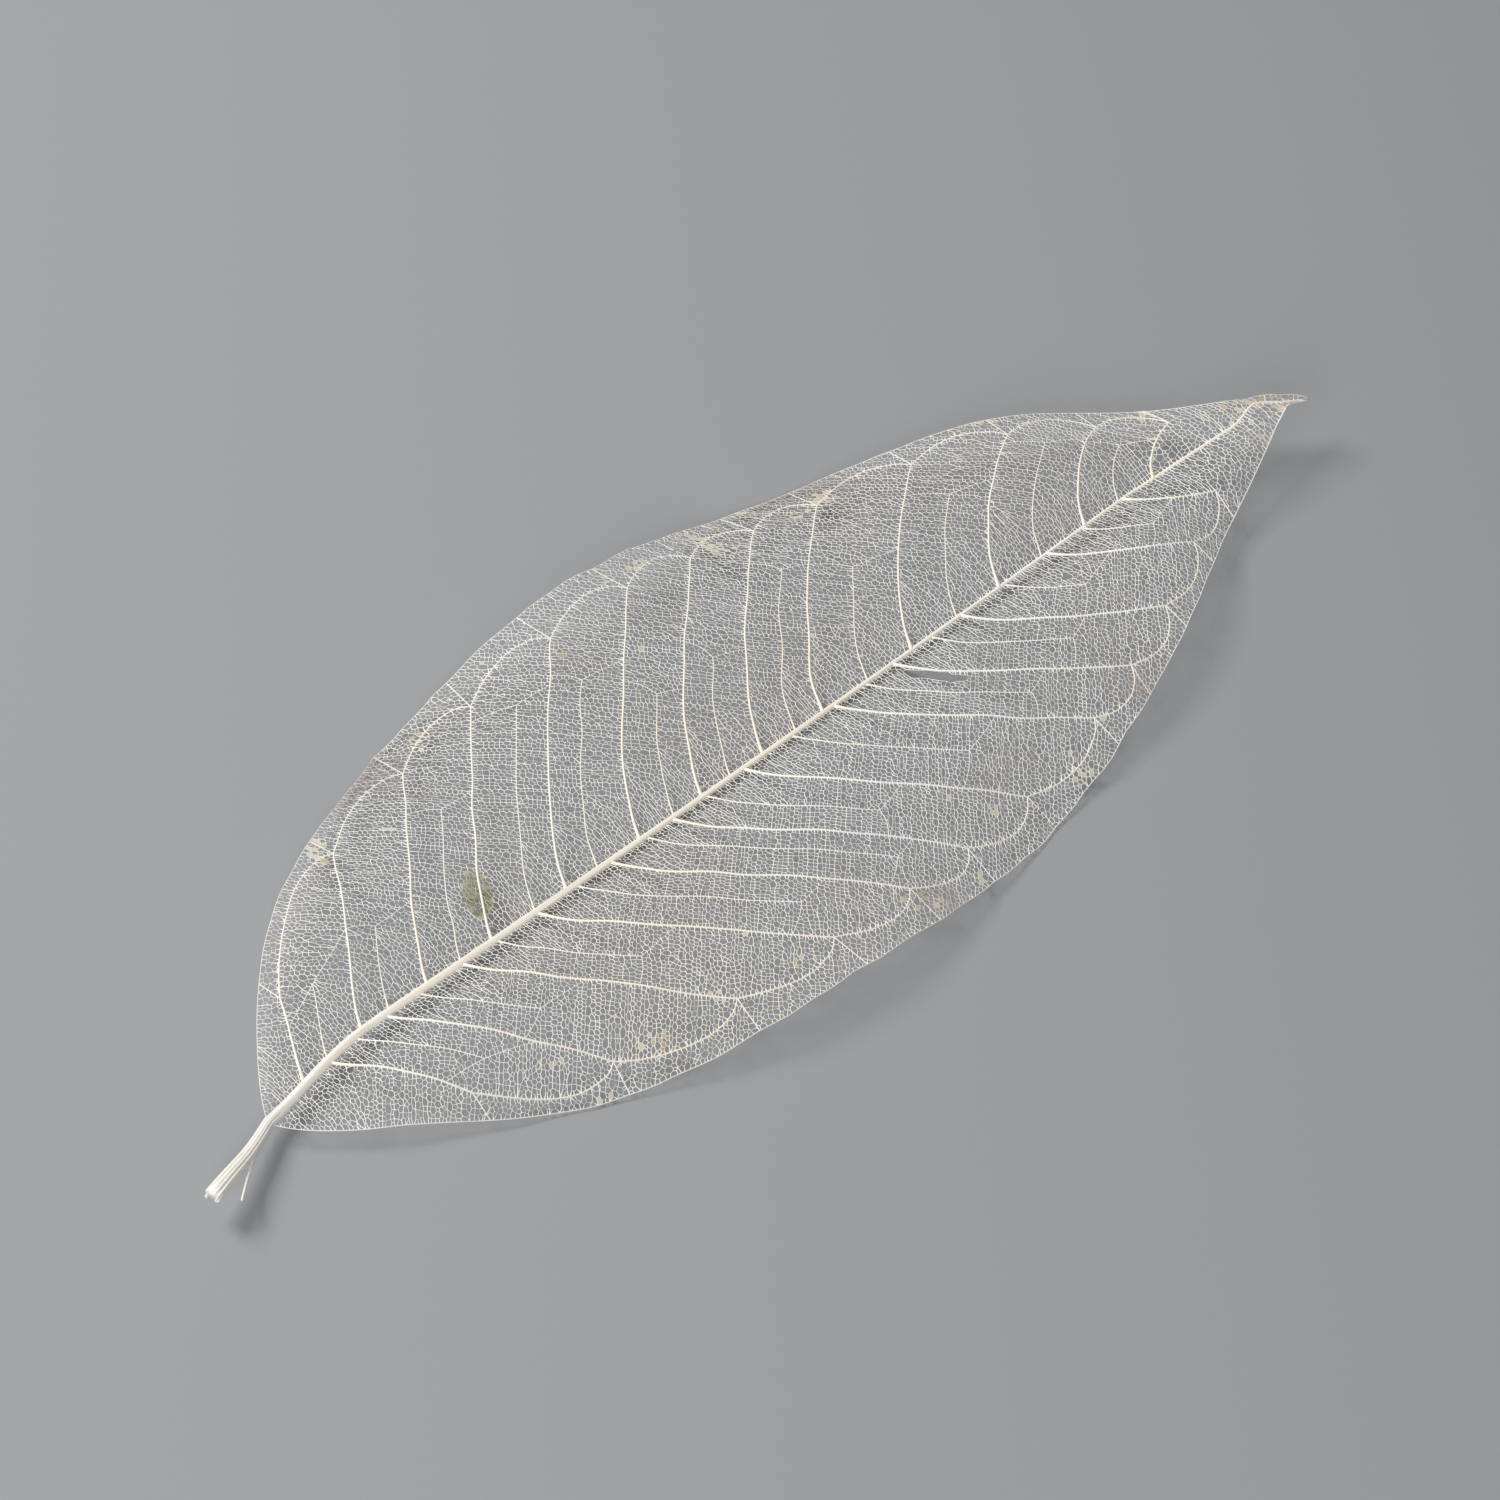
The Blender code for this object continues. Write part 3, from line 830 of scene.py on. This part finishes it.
# %% Threads of the net
THREAD = {MIDRIB: 0.20 * MM, SIDE: 0.18 * MM, BETWEEN: 0.14 * MM, MARGIN: 0.12 * MM,
          FORK: 0.11 * MM, CROSS: 0.106 * MM, RUNG: 0.071 * MM, NET: 0.037 * MM}
THICKEST_THREAD = max(THREAD.values())


def longest_bar(mesh):
    """Length of a mesh's longest edge, which shows whether any bar has shot out."""
    corners = mesh.vertices
    return max((corners[edge.vertices[0]].co - corners[edge.vertices[1]].co).length
               for edge in mesh.edges)


def make_threads(name, part):
    """Turn a part of the flat net into bars, each as thick as its vein, and bend them."""
    layer = part.edges.layers.int["rank"]
    widths = [THREAD[corner_rank(corner, layer)] for corner in part.verts]
    piece = new_object(name, part)
    group = piece.vertex_groups.new(name="thickness")
    for index, width in enumerate(widths):
        group.add([index], width / THICKEST_THREAD, "REPLACE")
    bars = piece.modifiers.new("bars", "WIREFRAME")
    bars.thickness = THICKEST_THREAD
    bars.offset = 0.0
    bars.use_even_offset = True
    bars.use_boundary = True
    bars.use_replace = True
    bars.vertex_group = group.name
    apply_modifiers(piece)
    print(name, "has bars of up to", round(1000.0 * longest_bar(piece.data), 2), "mm")
    bend_into_leaf(piece.data)
    return piece


net_pieces = [make_threads(name, part) for name, part in parts.items()]
for piece in net_pieces:
    piece.data.calc_loop_triangles()
    print(piece.name, "has", len(piece.data.loop_triangles), "triangles")

# %% [markdown]
# The strong veins are round and taper as they run out. Each is a tube grown by extruding its end
# face from place to place along its course, with a ring of corners set square across it.


# %% Tubes
def place_ring(cap, centre, forward, radius_at):
    """Set the corners of a tube's end square across its course."""
    left = Vector((0.0, 0.0, 1.0)).cross(forward).normalized()
    up = forward.cross(left)
    for index, corner in enumerate(cap.verts):
        angle = 2.0 * math.pi * (index + 0.5) / len(cap.verts)
        spoke = math.cos(angle) * left + math.sin(angle) * up
        corner.co = centre + radius_at(angle) * spoke


def add_tube(tube, places, radius_at, sides):
    """Grow a closed tube through the places given, by extruding its end face."""
    ring = bmesh.ops.create_circle(tube, cap_ends=True, segments=sides, radius=1.0)["verts"]
    cap = ring[0].link_faces[0]
    for index, place in enumerate(places):
        before = places[max(index - 1, 0)]
        after = places[min(index + 1, len(places) - 1)]
        if index > 0:
            grown = bmesh.ops.extrude_face_region(tube, geom=[cap, *cap.edges])["geom"]
            cap = next(item for item in grown if isinstance(item, bmesh.types.BMFace))
        forward = (after - before).normalized()
        place_ring(cap, place, forward, lambda angle: radius_at(index, angle))


def tubes_object(name, tubes):
    """Make an object of finished tubes, with their faces outwards."""
    bmesh.ops.recalc_face_normals(tubes, faces=tubes.faces)
    return new_object(name, tubes)


# %% Side veins, and the thinner veins and forks between them
# Of each kind: the radius at its root and at its end, the spread of its root, and its sides.
SIDE_VEIN = (0.16 * MM, 0.075 * MM, 0.8, 8)
BETWEEN_VEIN = (0.095 * MM, 0.055 * MM, 0.8, 6)
FORK_THREAD = (0.055 * MM, 0.042 * MM, 0.0, 6)
ROOT_LENGTH = 1.0 * MM
VEIN_TAPER = 0.8


def vein_radii(places, root, end, root_spread):
    """Radius at each place: wide where the vein leaves, and thinner and thinner to its end."""
    lengths = [0.0]
    for one, other in zip(places, places[1:]):
        lengths.append(lengths[-1] + (other - one).length)
    radii = []
    for length in lengths:
        share = length / lengths[-1]
        spread = 1.0 + root_spread * math.exp(-length / ROOT_LENGTH)
        radii.append((root + (end - root) * share**VEIN_TAPER) * spread)
    return radii


def make_side_veins():
    """All the side veins, the thinner ones between them and their forks, as one piece."""
    tubes = bmesh.new()
    kinds = [(side_courses, SIDE_VEIN), (between_courses, BETWEEN_VEIN),
             (fork_courses, FORK_THREAD)]
    for courses, (root, end, root_spread, sides) in kinds:
        for course in courses:
            places = [lay(*place.xy) for place in course]
            radii = vein_radii(places, root, end, root_spread)
            add_tube(tubes, places, lambda index, angle: radii[index], sides)
    return tubes_object("side_veins", tubes)


side_veins = make_side_veins()
print("side veins:", len(side_veins.data.polygons), "faces")

# %% [markdown]
# The midrib and the stalk are one stout bundle of fibres: slim along most of the blade, stouter
# towards the base, and flared and a little flattened where the stalk was torn off the twig. The
# same tube function makes it, with a radius that also changes round the tube, which gives it the
# fine ridges of its fibres.

# %% Midrib and stalk
MIDRIB_STEP = 0.8 * MM
MIDRIB_SIDES = 20
RIB_BASE = 0.62 * MM
RIB_MIDDLE = 0.38 * MM
RIB_TIP = 0.16 * MM
RIB_SLIMS = 3
RIB_DRAWN_OUT = 1.6
STALK_END = 0.92 * MM
STALK_FLATTENED = 0.25
CORE_LENGTH = 11.4 * MM
FLARE_CURVE = 1.5
RIDGES = 5
RIDGE_DEPTH = 0.07
RIDGE_TWIST = 40.0
UNEVEN = 0.06
UNEVEN_SIZE = 4.0 * MM


def midrib_radius(along):
    """Radius of the real midrib: flared at the stalk's end, then thin, and finest at the tip."""
    share = clamped(along / BLADE_LENGTH)
    slim = RIB_MIDDLE + (RIB_BASE - RIB_MIDDLE) * (1.0 - share) ** RIB_SLIMS
    radius = slim + (RIB_TIP - RIB_MIDDLE) * share**RIB_DRAWN_OUT
    return radius + (STALK_END - RIB_BASE) * flare(along)


def flare(along):
    """How far the stalk has flared, from 0 on the blade to 1 at its end."""
    return clamped(-along / CORE_LENGTH) ** FLARE_CURVE


def make_midrib():
    """The stalk and the midrib in one tube, ridged along its length by its bundles of fibres."""
    steps = round((BLADE_LENGTH + CORE_LENGTH) / MIDRIB_STEP)
    alongs = [-CORE_LENGTH + (BLADE_LENGTH + CORE_LENGTH) * index / steps
              for index in range(steps + 1)]
    places = [lay(along, 0.0) for along in alongs]

    def radius_at(index, angle):
        """Radius at a place and an angle round the tube."""
        ridge = 1.0 + RIDGE_DEPTH * math.sin(RIDGES * angle + RIDGE_TWIST * alongs[index])
        place = Vector((alongs[index] / UNEVEN_SIZE, angle, 0.0))
        uneven = 1.0 + UNEVEN * noise.noise(place)
        flat = 1.0 - STALK_FLATTENED * flare(alongs[index]) * math.sin(angle) ** 2
        return midrib_radius(alongs[index]) * ridge * uneven * flat

    tube = bmesh.new()
    add_tube(tube, places, radius_at, MIDRIB_SIDES)
    return tubes_object("midrib_and_stalk", tube)


midrib = make_midrib()
print("midrib:", len(midrib.data.polygons), "faces")

# %% [markdown]
# Round the stalk lie its outer bundles of fibres, half sunk in it, and they end unevenly where it
# was torn off. They are tubes of their own, because such thin strands that part at their ends
# can't be had from a bump or from the ridges of one tube.

# %% Strands of the stalk
STRANDS = 13
STRAND_SIDES = 8
STRAND_STEPS = 36
STRAND_RADIUS = 0.19 * MM
STRAND_FROM = 3.0 * MM
STRAND_SUNK = 0.08 * MM
STRAND_FRAY = 0.16 * MM
FRAY_CURVE = 6
ROUND_THE_STALK = (-0.3, 0.3)
TORN_AT = (0.92, 1.0)
STOUTNESS = (0.75, 1.1)
ROOT_STOUTNESS = 0.2
ROOT_SWELLS = 3.0
END_THINS = 0.6
END_CURVE = 12


def make_strands():
    """The bundles of fibres round the stalk's core, which part a little at its torn end."""
    bundle = bmesh.new()
    for index in range(STRANDS):
        angle = 2.0 * math.pi * (index + rng.uniform(*ROUND_THE_STALK)) / STRANDS
        length = STRAND_FROM + STALK_LENGTH * rng.uniform(*TORN_AT)
        frays = STRAND_FRAY * rng.uniform(0.0, 1.0)
        stout = STRAND_RADIUS * rng.uniform(*STOUTNESS)
        places = []
        radii = []
        for step in range(STRAND_STEPS + 1):
            share = step / STRAND_STEPS
            along = STRAND_FROM - length * share
            away = midrib_radius(along) - STRAND_SUNK + frays * share**FRAY_CURVE
            flat = 1.0 - STALK_FLATTENED * flare(along)
            around = Vector((0.0, away * math.cos(angle), flat * away * math.sin(angle)))
            places.append(lay(along, 0.0) + around)
            at_root = min(1.0, ROOT_STOUTNESS + ROOT_SWELLS * share)
            radii.append(stout * at_root * (1.0 - END_THINS * share**END_CURVE))
        add_tube(bundle, places, lambda step, angle: radii[step], STRAND_SIDES)
    return tubes_object("stalk_strands", bundle)


strands = make_strands()
print("strands of the stalk:", len(strands.data.polygons), "faces")

# %% [markdown]
# One strand has peeled off and stands away from the stalk. The CAD model has it too, so it keeps
# that course here and only becomes thinner and rounder.

# %% Fibre that has peeled off the stalk
FIBRE_ROOT_AT = -1.5 * MM
FIBRE_LENGTH = 7.6 * MM
FIBRE_SPREAD = 2.7 * MM
FIBRE_CURVE = 1.35
FIBRE_SAG = 0.6 * MM
FIBRE_RADIUS = 0.24 * MM
FIBRE_TAPER = 0.45
FIBRE_STEPS = 24


def make_fibre():
    """A strand that has peeled off the stalk and curves away from its end."""
    places = []
    radii = []
    for step in range(FIBRE_STEPS + 1):
        share = step / FIBRE_STEPS
        away = Vector((0.0, -FIBRE_SPREAD * share**FIBRE_CURVE, -FIBRE_SAG * share))
        places.append(lay(FIBRE_ROOT_AT - FIBRE_LENGTH * share, 0.0) + away)
        radii.append(FIBRE_RADIUS * (1.0 - FIBRE_TAPER * step / FIBRE_STEPS))
    strand = bmesh.new()
    add_tube(strand, places, lambda index, angle: radii[index], STRAND_SIDES)
    return tubes_object("stalk_fibre", strand)


fibre = make_fibre()
print("peeled fibre:", len(fibre.data.polygons), "faces")

# %% [markdown]
# The leaf was cleaned well, but a few scraps of its skin still hang in the meshes: at the tip,
# along the margin and in one olive patch beside the midrib. A scrap fills the very mesh that it
# hangs in, so these meshes are copied from the flat net. Many are torn open in their middle.

# %% Scraps of skin in the meshes
SKIN_THICKNESS = 0.025 * MM
SKIN_RIM = 0.11 * MM
SKIN_PATCH = 5.0 * MM
SKIN_IN_PATCH = (0.28, 0.5)
SKIN_OUTWARD = (0.55, 0.9)
SKIN_AT_TIP = (0.93 * BLADE_LENGTH, 0.98 * BLADE_LENGTH)
LARGEST_WITH_SKIN = 2.5 * MESH_AREA
OLIVE_LIKELY = 0.85
TIP_LIKELY = 0.45
PATCH_LIKELY = 0.5
TORN_LIKELY = 0.5


def holds_skin(face):
    """Whether a mesh of the net still holds a scrap of skin."""
    place = face.calc_center_median()
    if face.calc_area() > LARGEST_WITH_SKIN:
        return False
    if within(place, *OLIVE_PATCH) < 1.0:
        return rng.random() < OLIVE_LIKELY
    at_tip = smoothstep(*SKIN_AT_TIP, place.x)
    in_patch = smoothstep(*SKIN_IN_PATCH, noise.noise(place / SKIN_PATCH))
    outward = smoothstep(*SKIN_OUTWARD, way_out(*place.xy))
    return rng.random() < TIP_LIKELY * at_tip + PATCH_LIKELY * in_patch * outward


def make_skin(flat_net):
    """The scraps of skin, each as thin as a film, bent with the leaf."""
    skin = flat_net.copy()
    bare = [face for face in skin.faces if not holds_skin(face)]
    bmesh.ops.delete(skin, geom=bare, context="FACES")
    bmesh.ops.split_edges(skin, edges=skin.edges)
    torn = [face for face in skin.faces if rng.random() < TORN_LIKELY]
    bmesh.ops.inset_individual(skin, faces=torn, thickness=SKIN_RIM, use_even_offset=True)
    bmesh.ops.delete(skin, geom=torn, context="FACES")
    bmesh.ops.triangulate(skin, faces=skin.faces)
    piece = new_object("skin_scraps", skin)
    film = piece.modifiers.new("film", "SOLIDIFY")
    film.thickness = SKIN_THICKNESS
    film.offset = 0.0
    apply_modifiers(piece)
    bend_into_leaf(piece.data)
    return piece


skin_scraps = make_skin(net)
print("scraps of skin:", len(skin_scraps.data.polygons), "faces")

# %% [markdown]
# A material's maths reads best as an expression. This small class wraps a socket, and the only
# maths that these finishes need is to multiply masks: a * between two wires, or a wire and a
# number, adds the Math node. Any other node comes from its one method, node.


# %% A socket that can be used in an expression
class Wire:
    """An output of a material's node tree. Multiplying it adds a Math node."""

    def __init__(self, tree, socket=None):
        self.tree = tree
        self.socket = socket

    def node(self, kind, settings=None, values=None, output=0):
        """Add a node: its settings first, then the values or links of its sockets."""
        made = self.tree.nodes.new(kind)
        for name, setting in (settings or {}).items():
            setattr(made, name, setting)
        for name, value in (values or {}).items():
            if isinstance(value, Wire):
                self.tree.links.new(value.socket, made.inputs[name])
            else:
                made.inputs[name].default_value = value
        return Wire(self.tree, made.outputs[output])

    def __mul__(self, other):
        """The product of this value and another, or a number."""
        return self.node("ShaderNodeMath", {"operation": "MULTIPLY"}, {0: self, 1: other})

    __rmul__ = __mul__

    def mix(self, low, high):
        """The colour between low and high that this value gives."""
        settings = {"data_type": "RGBA", "clamp_factor": True}
        return self.node("ShaderNodeMix", settings, {0: self, 6: low, 7: high}, output=2)


# %% [markdown]
# The veins are dry, bleached plant fibre: matt, cream white, greyer in the finest threads, with
# faint rust stains towards the margin. Noise on Object coordinates gives the stains, because it
# runs on through every piece without a seam. What depends on the place on the flat blade comes
# from the two attributes that each mesh kept before it was bent.

# %% Colours, and helpers for the finishes
CREAM = (0.93, 0.86, 0.73, 1.0)
BLEACHED = (0.93, 0.90, 0.84, 1.0)
THREAD_CREAM = (0.88, 0.83, 0.75, 1.0)
THREAD_WHITE = (0.87, 0.85, 0.81, 1.0)
RUST = (0.56, 0.38, 0.29, 1.0)
MOSS = (0.46, 0.49, 0.34, 1.0)
SKIN_PALE = (0.80, 0.74, 0.60, 1.0)
SKIN_BROWN = (0.52, 0.40, 0.26, 1.0)
OLIVE_THREAD = (0.50, 0.50, 0.32, 1.0)
OLIVE_PALE = (0.48, 0.48, 0.28, 1.0)
OLIVE_DARK = (0.22, 0.23, 0.11, 1.0)
DULL = 0.35


def new_finish(name, roughness):
    """A material with its shader, and a wire to start its expressions from."""
    material = bpy.data.materials.new(name)
    material.use_nodes = True
    shader = material.node_tree.nodes["Principled BSDF"]
    shader.inputs["Roughness"].default_value = roughness
    shader.inputs["Specular IOR Level"].default_value = DULL
    return material, shader, Wire(material.node_tree)


def speckle(start, size, detail, stretch=(1.0, 1.0, 1.0)):
    """Noise over the object, with patches of about the size given."""
    place = start.node("ShaderNodeTexCoord", output=3)
    mapped = start.node("ShaderNodeMapping", values={"Vector": place, "Scale": stretch})
    return start.node("ShaderNodeTexNoise", {"noise_dimensions": "3D"},
                      {"Vector": mapped, "Scale": 1.0 / size, "Detail": detail})


def stretched(value, low, high):
    """Stretch a value so that low gives 0 and high gives 1."""
    return value.node("ShaderNodeMapRange", {"clamp": True, "interpolation_type": "SMOOTHSTEP"},
                      {"Value": value, "From Min": low, "From Max": high})


def patches(start, size, detail, low, high, stretch=(1.0, 1.0, 1.0)):
    """A mask of soft patches: they begin where the noise is low, and are full where it is high."""
    return stretched(speckle(start, size, detail, stretch), low, high)


def noted(start, name):
    """A value that the piece keeps at each corner."""
    return start.node("ShaderNodeAttribute", {"attribute_name": name}, output=2)


def lead_in(shader, colour, height, strength, depth):
    """Lead a colour into the shader, and a height as a bump of the depth given."""
    bump = height.node("ShaderNodeBump",
                       values={"Strength": strength, "Distance": depth, "Height": height})
    colour.tree.links.new(colour.socket, shader.inputs["Base Color"])
    colour.tree.links.new(bump.socket, shader.inputs["Normal"])


# %% [markdown]
# Each finish starts from a base colour and mixes stains over it with masks that are multiplied
# as plain expressions. A weak bump keeps the fine threads from looking like plastic. A set of
# patches is given by its size, the detail of its noise, and the noise at which it begins and is
# full. A value that ends in SHOWS or SHOW is the most that a stain covers.


# %% Finish of the fine threads
THREAD_DRIFT = (22.0 * MM, 3.0, 0.40, 0.60)
THREAD_RUST = (16.0 * MM, 4.0, 0.54, 0.68)
THREAD_MOSS = (27.0 * MM, 3.0, 0.62, 0.74)
MOSS_STRETCH = (1.2, 1.0, 2.0)
RUST_OUTWARD = (0.45, 0.92)
RUST_SHOWS = 0.55
MOSS_SHOWS = 0.22
OLIVE_SHOWS = 0.8
GRIT_SIZE = 0.15 * MM


def thread_finish():
    """Finish of the fine threads: grey cream, with rust stains near the margin."""
    material, shader, start = new_finish("dry_thread", roughness=0.78)
    near_margin = stretched(noted(start, "outward"), *RUST_OUTWARD)
    rust = patches(start, *THREAD_RUST) * near_margin * RUST_SHOWS
    moss = patches(start, *THREAD_MOSS, MOSS_STRETCH) * MOSS_SHOWS
    colour = patches(start, *THREAD_DRIFT).mix(THREAD_CREAM, THREAD_WHITE)
    colour = moss.mix(rust.mix(colour, RUST), MOSS)
    colour = (noted(start, "olive") * OLIVE_SHOWS).mix(colour, OLIVE_THREAD)
    grit = speckle(start, GRIT_SIZE, detail=2.0)
    lead_in(shader, colour, grit, strength=0.35, depth=0.02 * MM)
    return material


dry_thread = thread_finish()
print("dry_thread has", len(dry_thread.node_tree.nodes), "nodes")

# %% Finish of the midrib and the stout veins
RIB_DRIFT = (30.0 * MM, 2.0, 0.35, 0.65)
STREAK_SIZE = 0.30 * MM
STREAK_STRETCH = (0.03, 1.0, 1.0)
STREAK_RUST = (0.55, 0.75)
STREAKS_SHOW = 0.25


def rib_finish():
    """Finish of the midrib and the stout veins: cream, with streaks along the fibres."""
    material, shader, start = new_finish("dry_rib", roughness=0.62)
    streaks = speckle(start, STREAK_SIZE, 3.0, STREAK_STRETCH)
    colour = patches(start, *RIB_DRIFT).mix(CREAM, BLEACHED)
    colour = (stretched(streaks, *STREAK_RUST) * STREAKS_SHOW).mix(colour, RUST)
    lead_in(shader, colour, streaks, strength=0.5, depth=0.05 * MM)
    return material


dry_rib = rib_finish()
print("dry_rib has", len(dry_rib.node_tree.nodes), "nodes")

# %% Finish of the scraps of skin
SKIN_STAINS = (4.0 * MM, 3.0, 0.42, 0.66)
OLIVE_SPOTS = (1.3 * MM, 3.0, 0.42, 0.60)
BROWN_SHOWS = 0.8
SKIN_ALPHA = 0.70
WRINKLE_SIZE = 0.25 * MM


def skin_finish():
    """Finish of the scraps of skin: papery, brown in places and olive in one spot."""
    material, shader, start = new_finish("dry_skin", roughness=0.7)
    shader.inputs["Alpha"].default_value = SKIN_ALPHA
    colour = (patches(start, *SKIN_STAINS) * BROWN_SHOWS).mix(SKIN_PALE, SKIN_BROWN)
    olive = patches(start, *OLIVE_SPOTS).mix(OLIVE_PALE, OLIVE_DARK)
    colour = noted(start, "olive").mix(colour, olive)
    wrinkles = speckle(start, WRINKLE_SIZE, detail=2.0)
    lead_in(shader, colour, wrinkles, strength=0.5, depth=0.03 * MM)
    return material


dry_skin = skin_finish()
print("dry_skin has", len(dry_skin.node_tree.nodes), "nodes")

# %% Give every piece its finish
tube_pieces = [side_veins, midrib, strands, fibre]
finishes = [(dry_thread, net_pieces), (dry_rib, tube_pieces), (dry_skin, [skin_scraps])]
for material, finished_pieces in finishes:
    for piece in finished_pieces:
        piece.data.materials.clear()
        piece.data.materials.append(material)
    print(material.name, "finishes", len(finished_pieces), "pieces")
for piece in tube_pieces:
    piece.data.shade_smooth()

# %% [markdown]
# Every piece rides on the model's one body and stands for the one CAD node, which it hides. The
# node stays in the physics model for collision.

# %% Place the pieces on the frame
pieces = [*net_pieces, *tube_pieces, skin_scraps]
for piece in pieces:
    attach(piece, "root")
    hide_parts("skeleton_leaf")
print("pieces placed:", [piece.name for piece in pieces])

# %% [markdown]
# The leaf lies on a plain pale floor, a few tones darker than its threads, so that the lace
# stands out from it. Two soft lights and an even sky light it, the stronger one from the far
# left, so that the raised veins and the waves throw soft shadows.

# %% Floor
FLOOR_SIZE = 1.6
FLOOR_GREY = (0.345, 0.355, 0.368, 1.0)


def make_floor():
    """A plain pale floor, just under the leaf."""
    shape = bmesh.new()
    bmesh.ops.create_grid(shape, x_segments=1, y_segments=1, size=0.5 * FLOOR_SIZE)
    floor = new_object("floor", shape)
    material, shader, _ = new_finish("floor", roughness=0.85)
    shader.inputs["Base Color"].default_value = FLOOR_GREY
    floor.data.materials.append(material)


make_floor()
print("the floor is", FLOOR_SIZE, "m across")

# %% Light
LIGHTS = {"key_light": ((-0.25, 0.60, 0.62), 0.35, 6.2),
          "front_light": ((-0.75, -0.35, 0.45), 0.5, 4.4)}
SKY_COLOUR = (1.0, 1.0, 1.0, 1.0)
SKY_STRENGTH = 0.22


def aimed(name, data, place, direction, roll=0.0):
    """Put a light or a camera at a place, looking in a direction and rolled about it."""
    thing = bpy.data.objects.new(name, data)
    thing.location = place
    thing.rotation_mode = "QUATERNION"
    level = direction.to_track_quat("-Z", "Y")
    thing.rotation_quaternion = level @ Quaternion((0.0, 0.0, 1.0), roll)
    bpy.context.scene.collection.objects.link(thing)
    return thing


for name, (place, size, power) in LIGHTS.items():
    light = bpy.data.lights.new(name, "AREA")
    light.size = size
    light.energy = power
    aimed(name, light, place, -Vector(place))
world = bpy.data.worlds.new("studio")
world.use_nodes = True
sky = world.node_tree.nodes["Background"]
sky.inputs["Color"].default_value = SKY_COLOUR
sky.inputs["Strength"].default_value = SKY_STRENGTH
bpy.context.scene.world = world
bpy.context.scene.view_settings.view_transform = "Standard"
print("lights in watts:", {name: power for name, (_, _, power) in LIGHTS.items()})

# %% [markdown]
# The camera looks down on the leaf from beyond its stalk, the way the photograph does, with a
# long lens. It is rolled a little, so that the midrib runs up to the right at the same slant.

# %% Camera
LOOKS_FROM = Vector((-0.350, -0.262, 0.534))
LENS = 149.0
SENSOR = 36.0
CAMERA_ROLL = math.radians(11.0)
leaf_middle = 0.5 * (cad_low + cad_high)
camera_data = bpy.data.cameras.new("camera")
camera_data.lens = LENS
camera_data.sensor_width = SENSOR
camera = aimed("camera", camera_data, leaf_middle + LOOKS_FROM, -LOOKS_FROM, CAMERA_ROLL)
bpy.context.scene.camera = camera
print("the camera is", round(LOOKS_FROM.length / MM), "mm from the middle of the leaf")
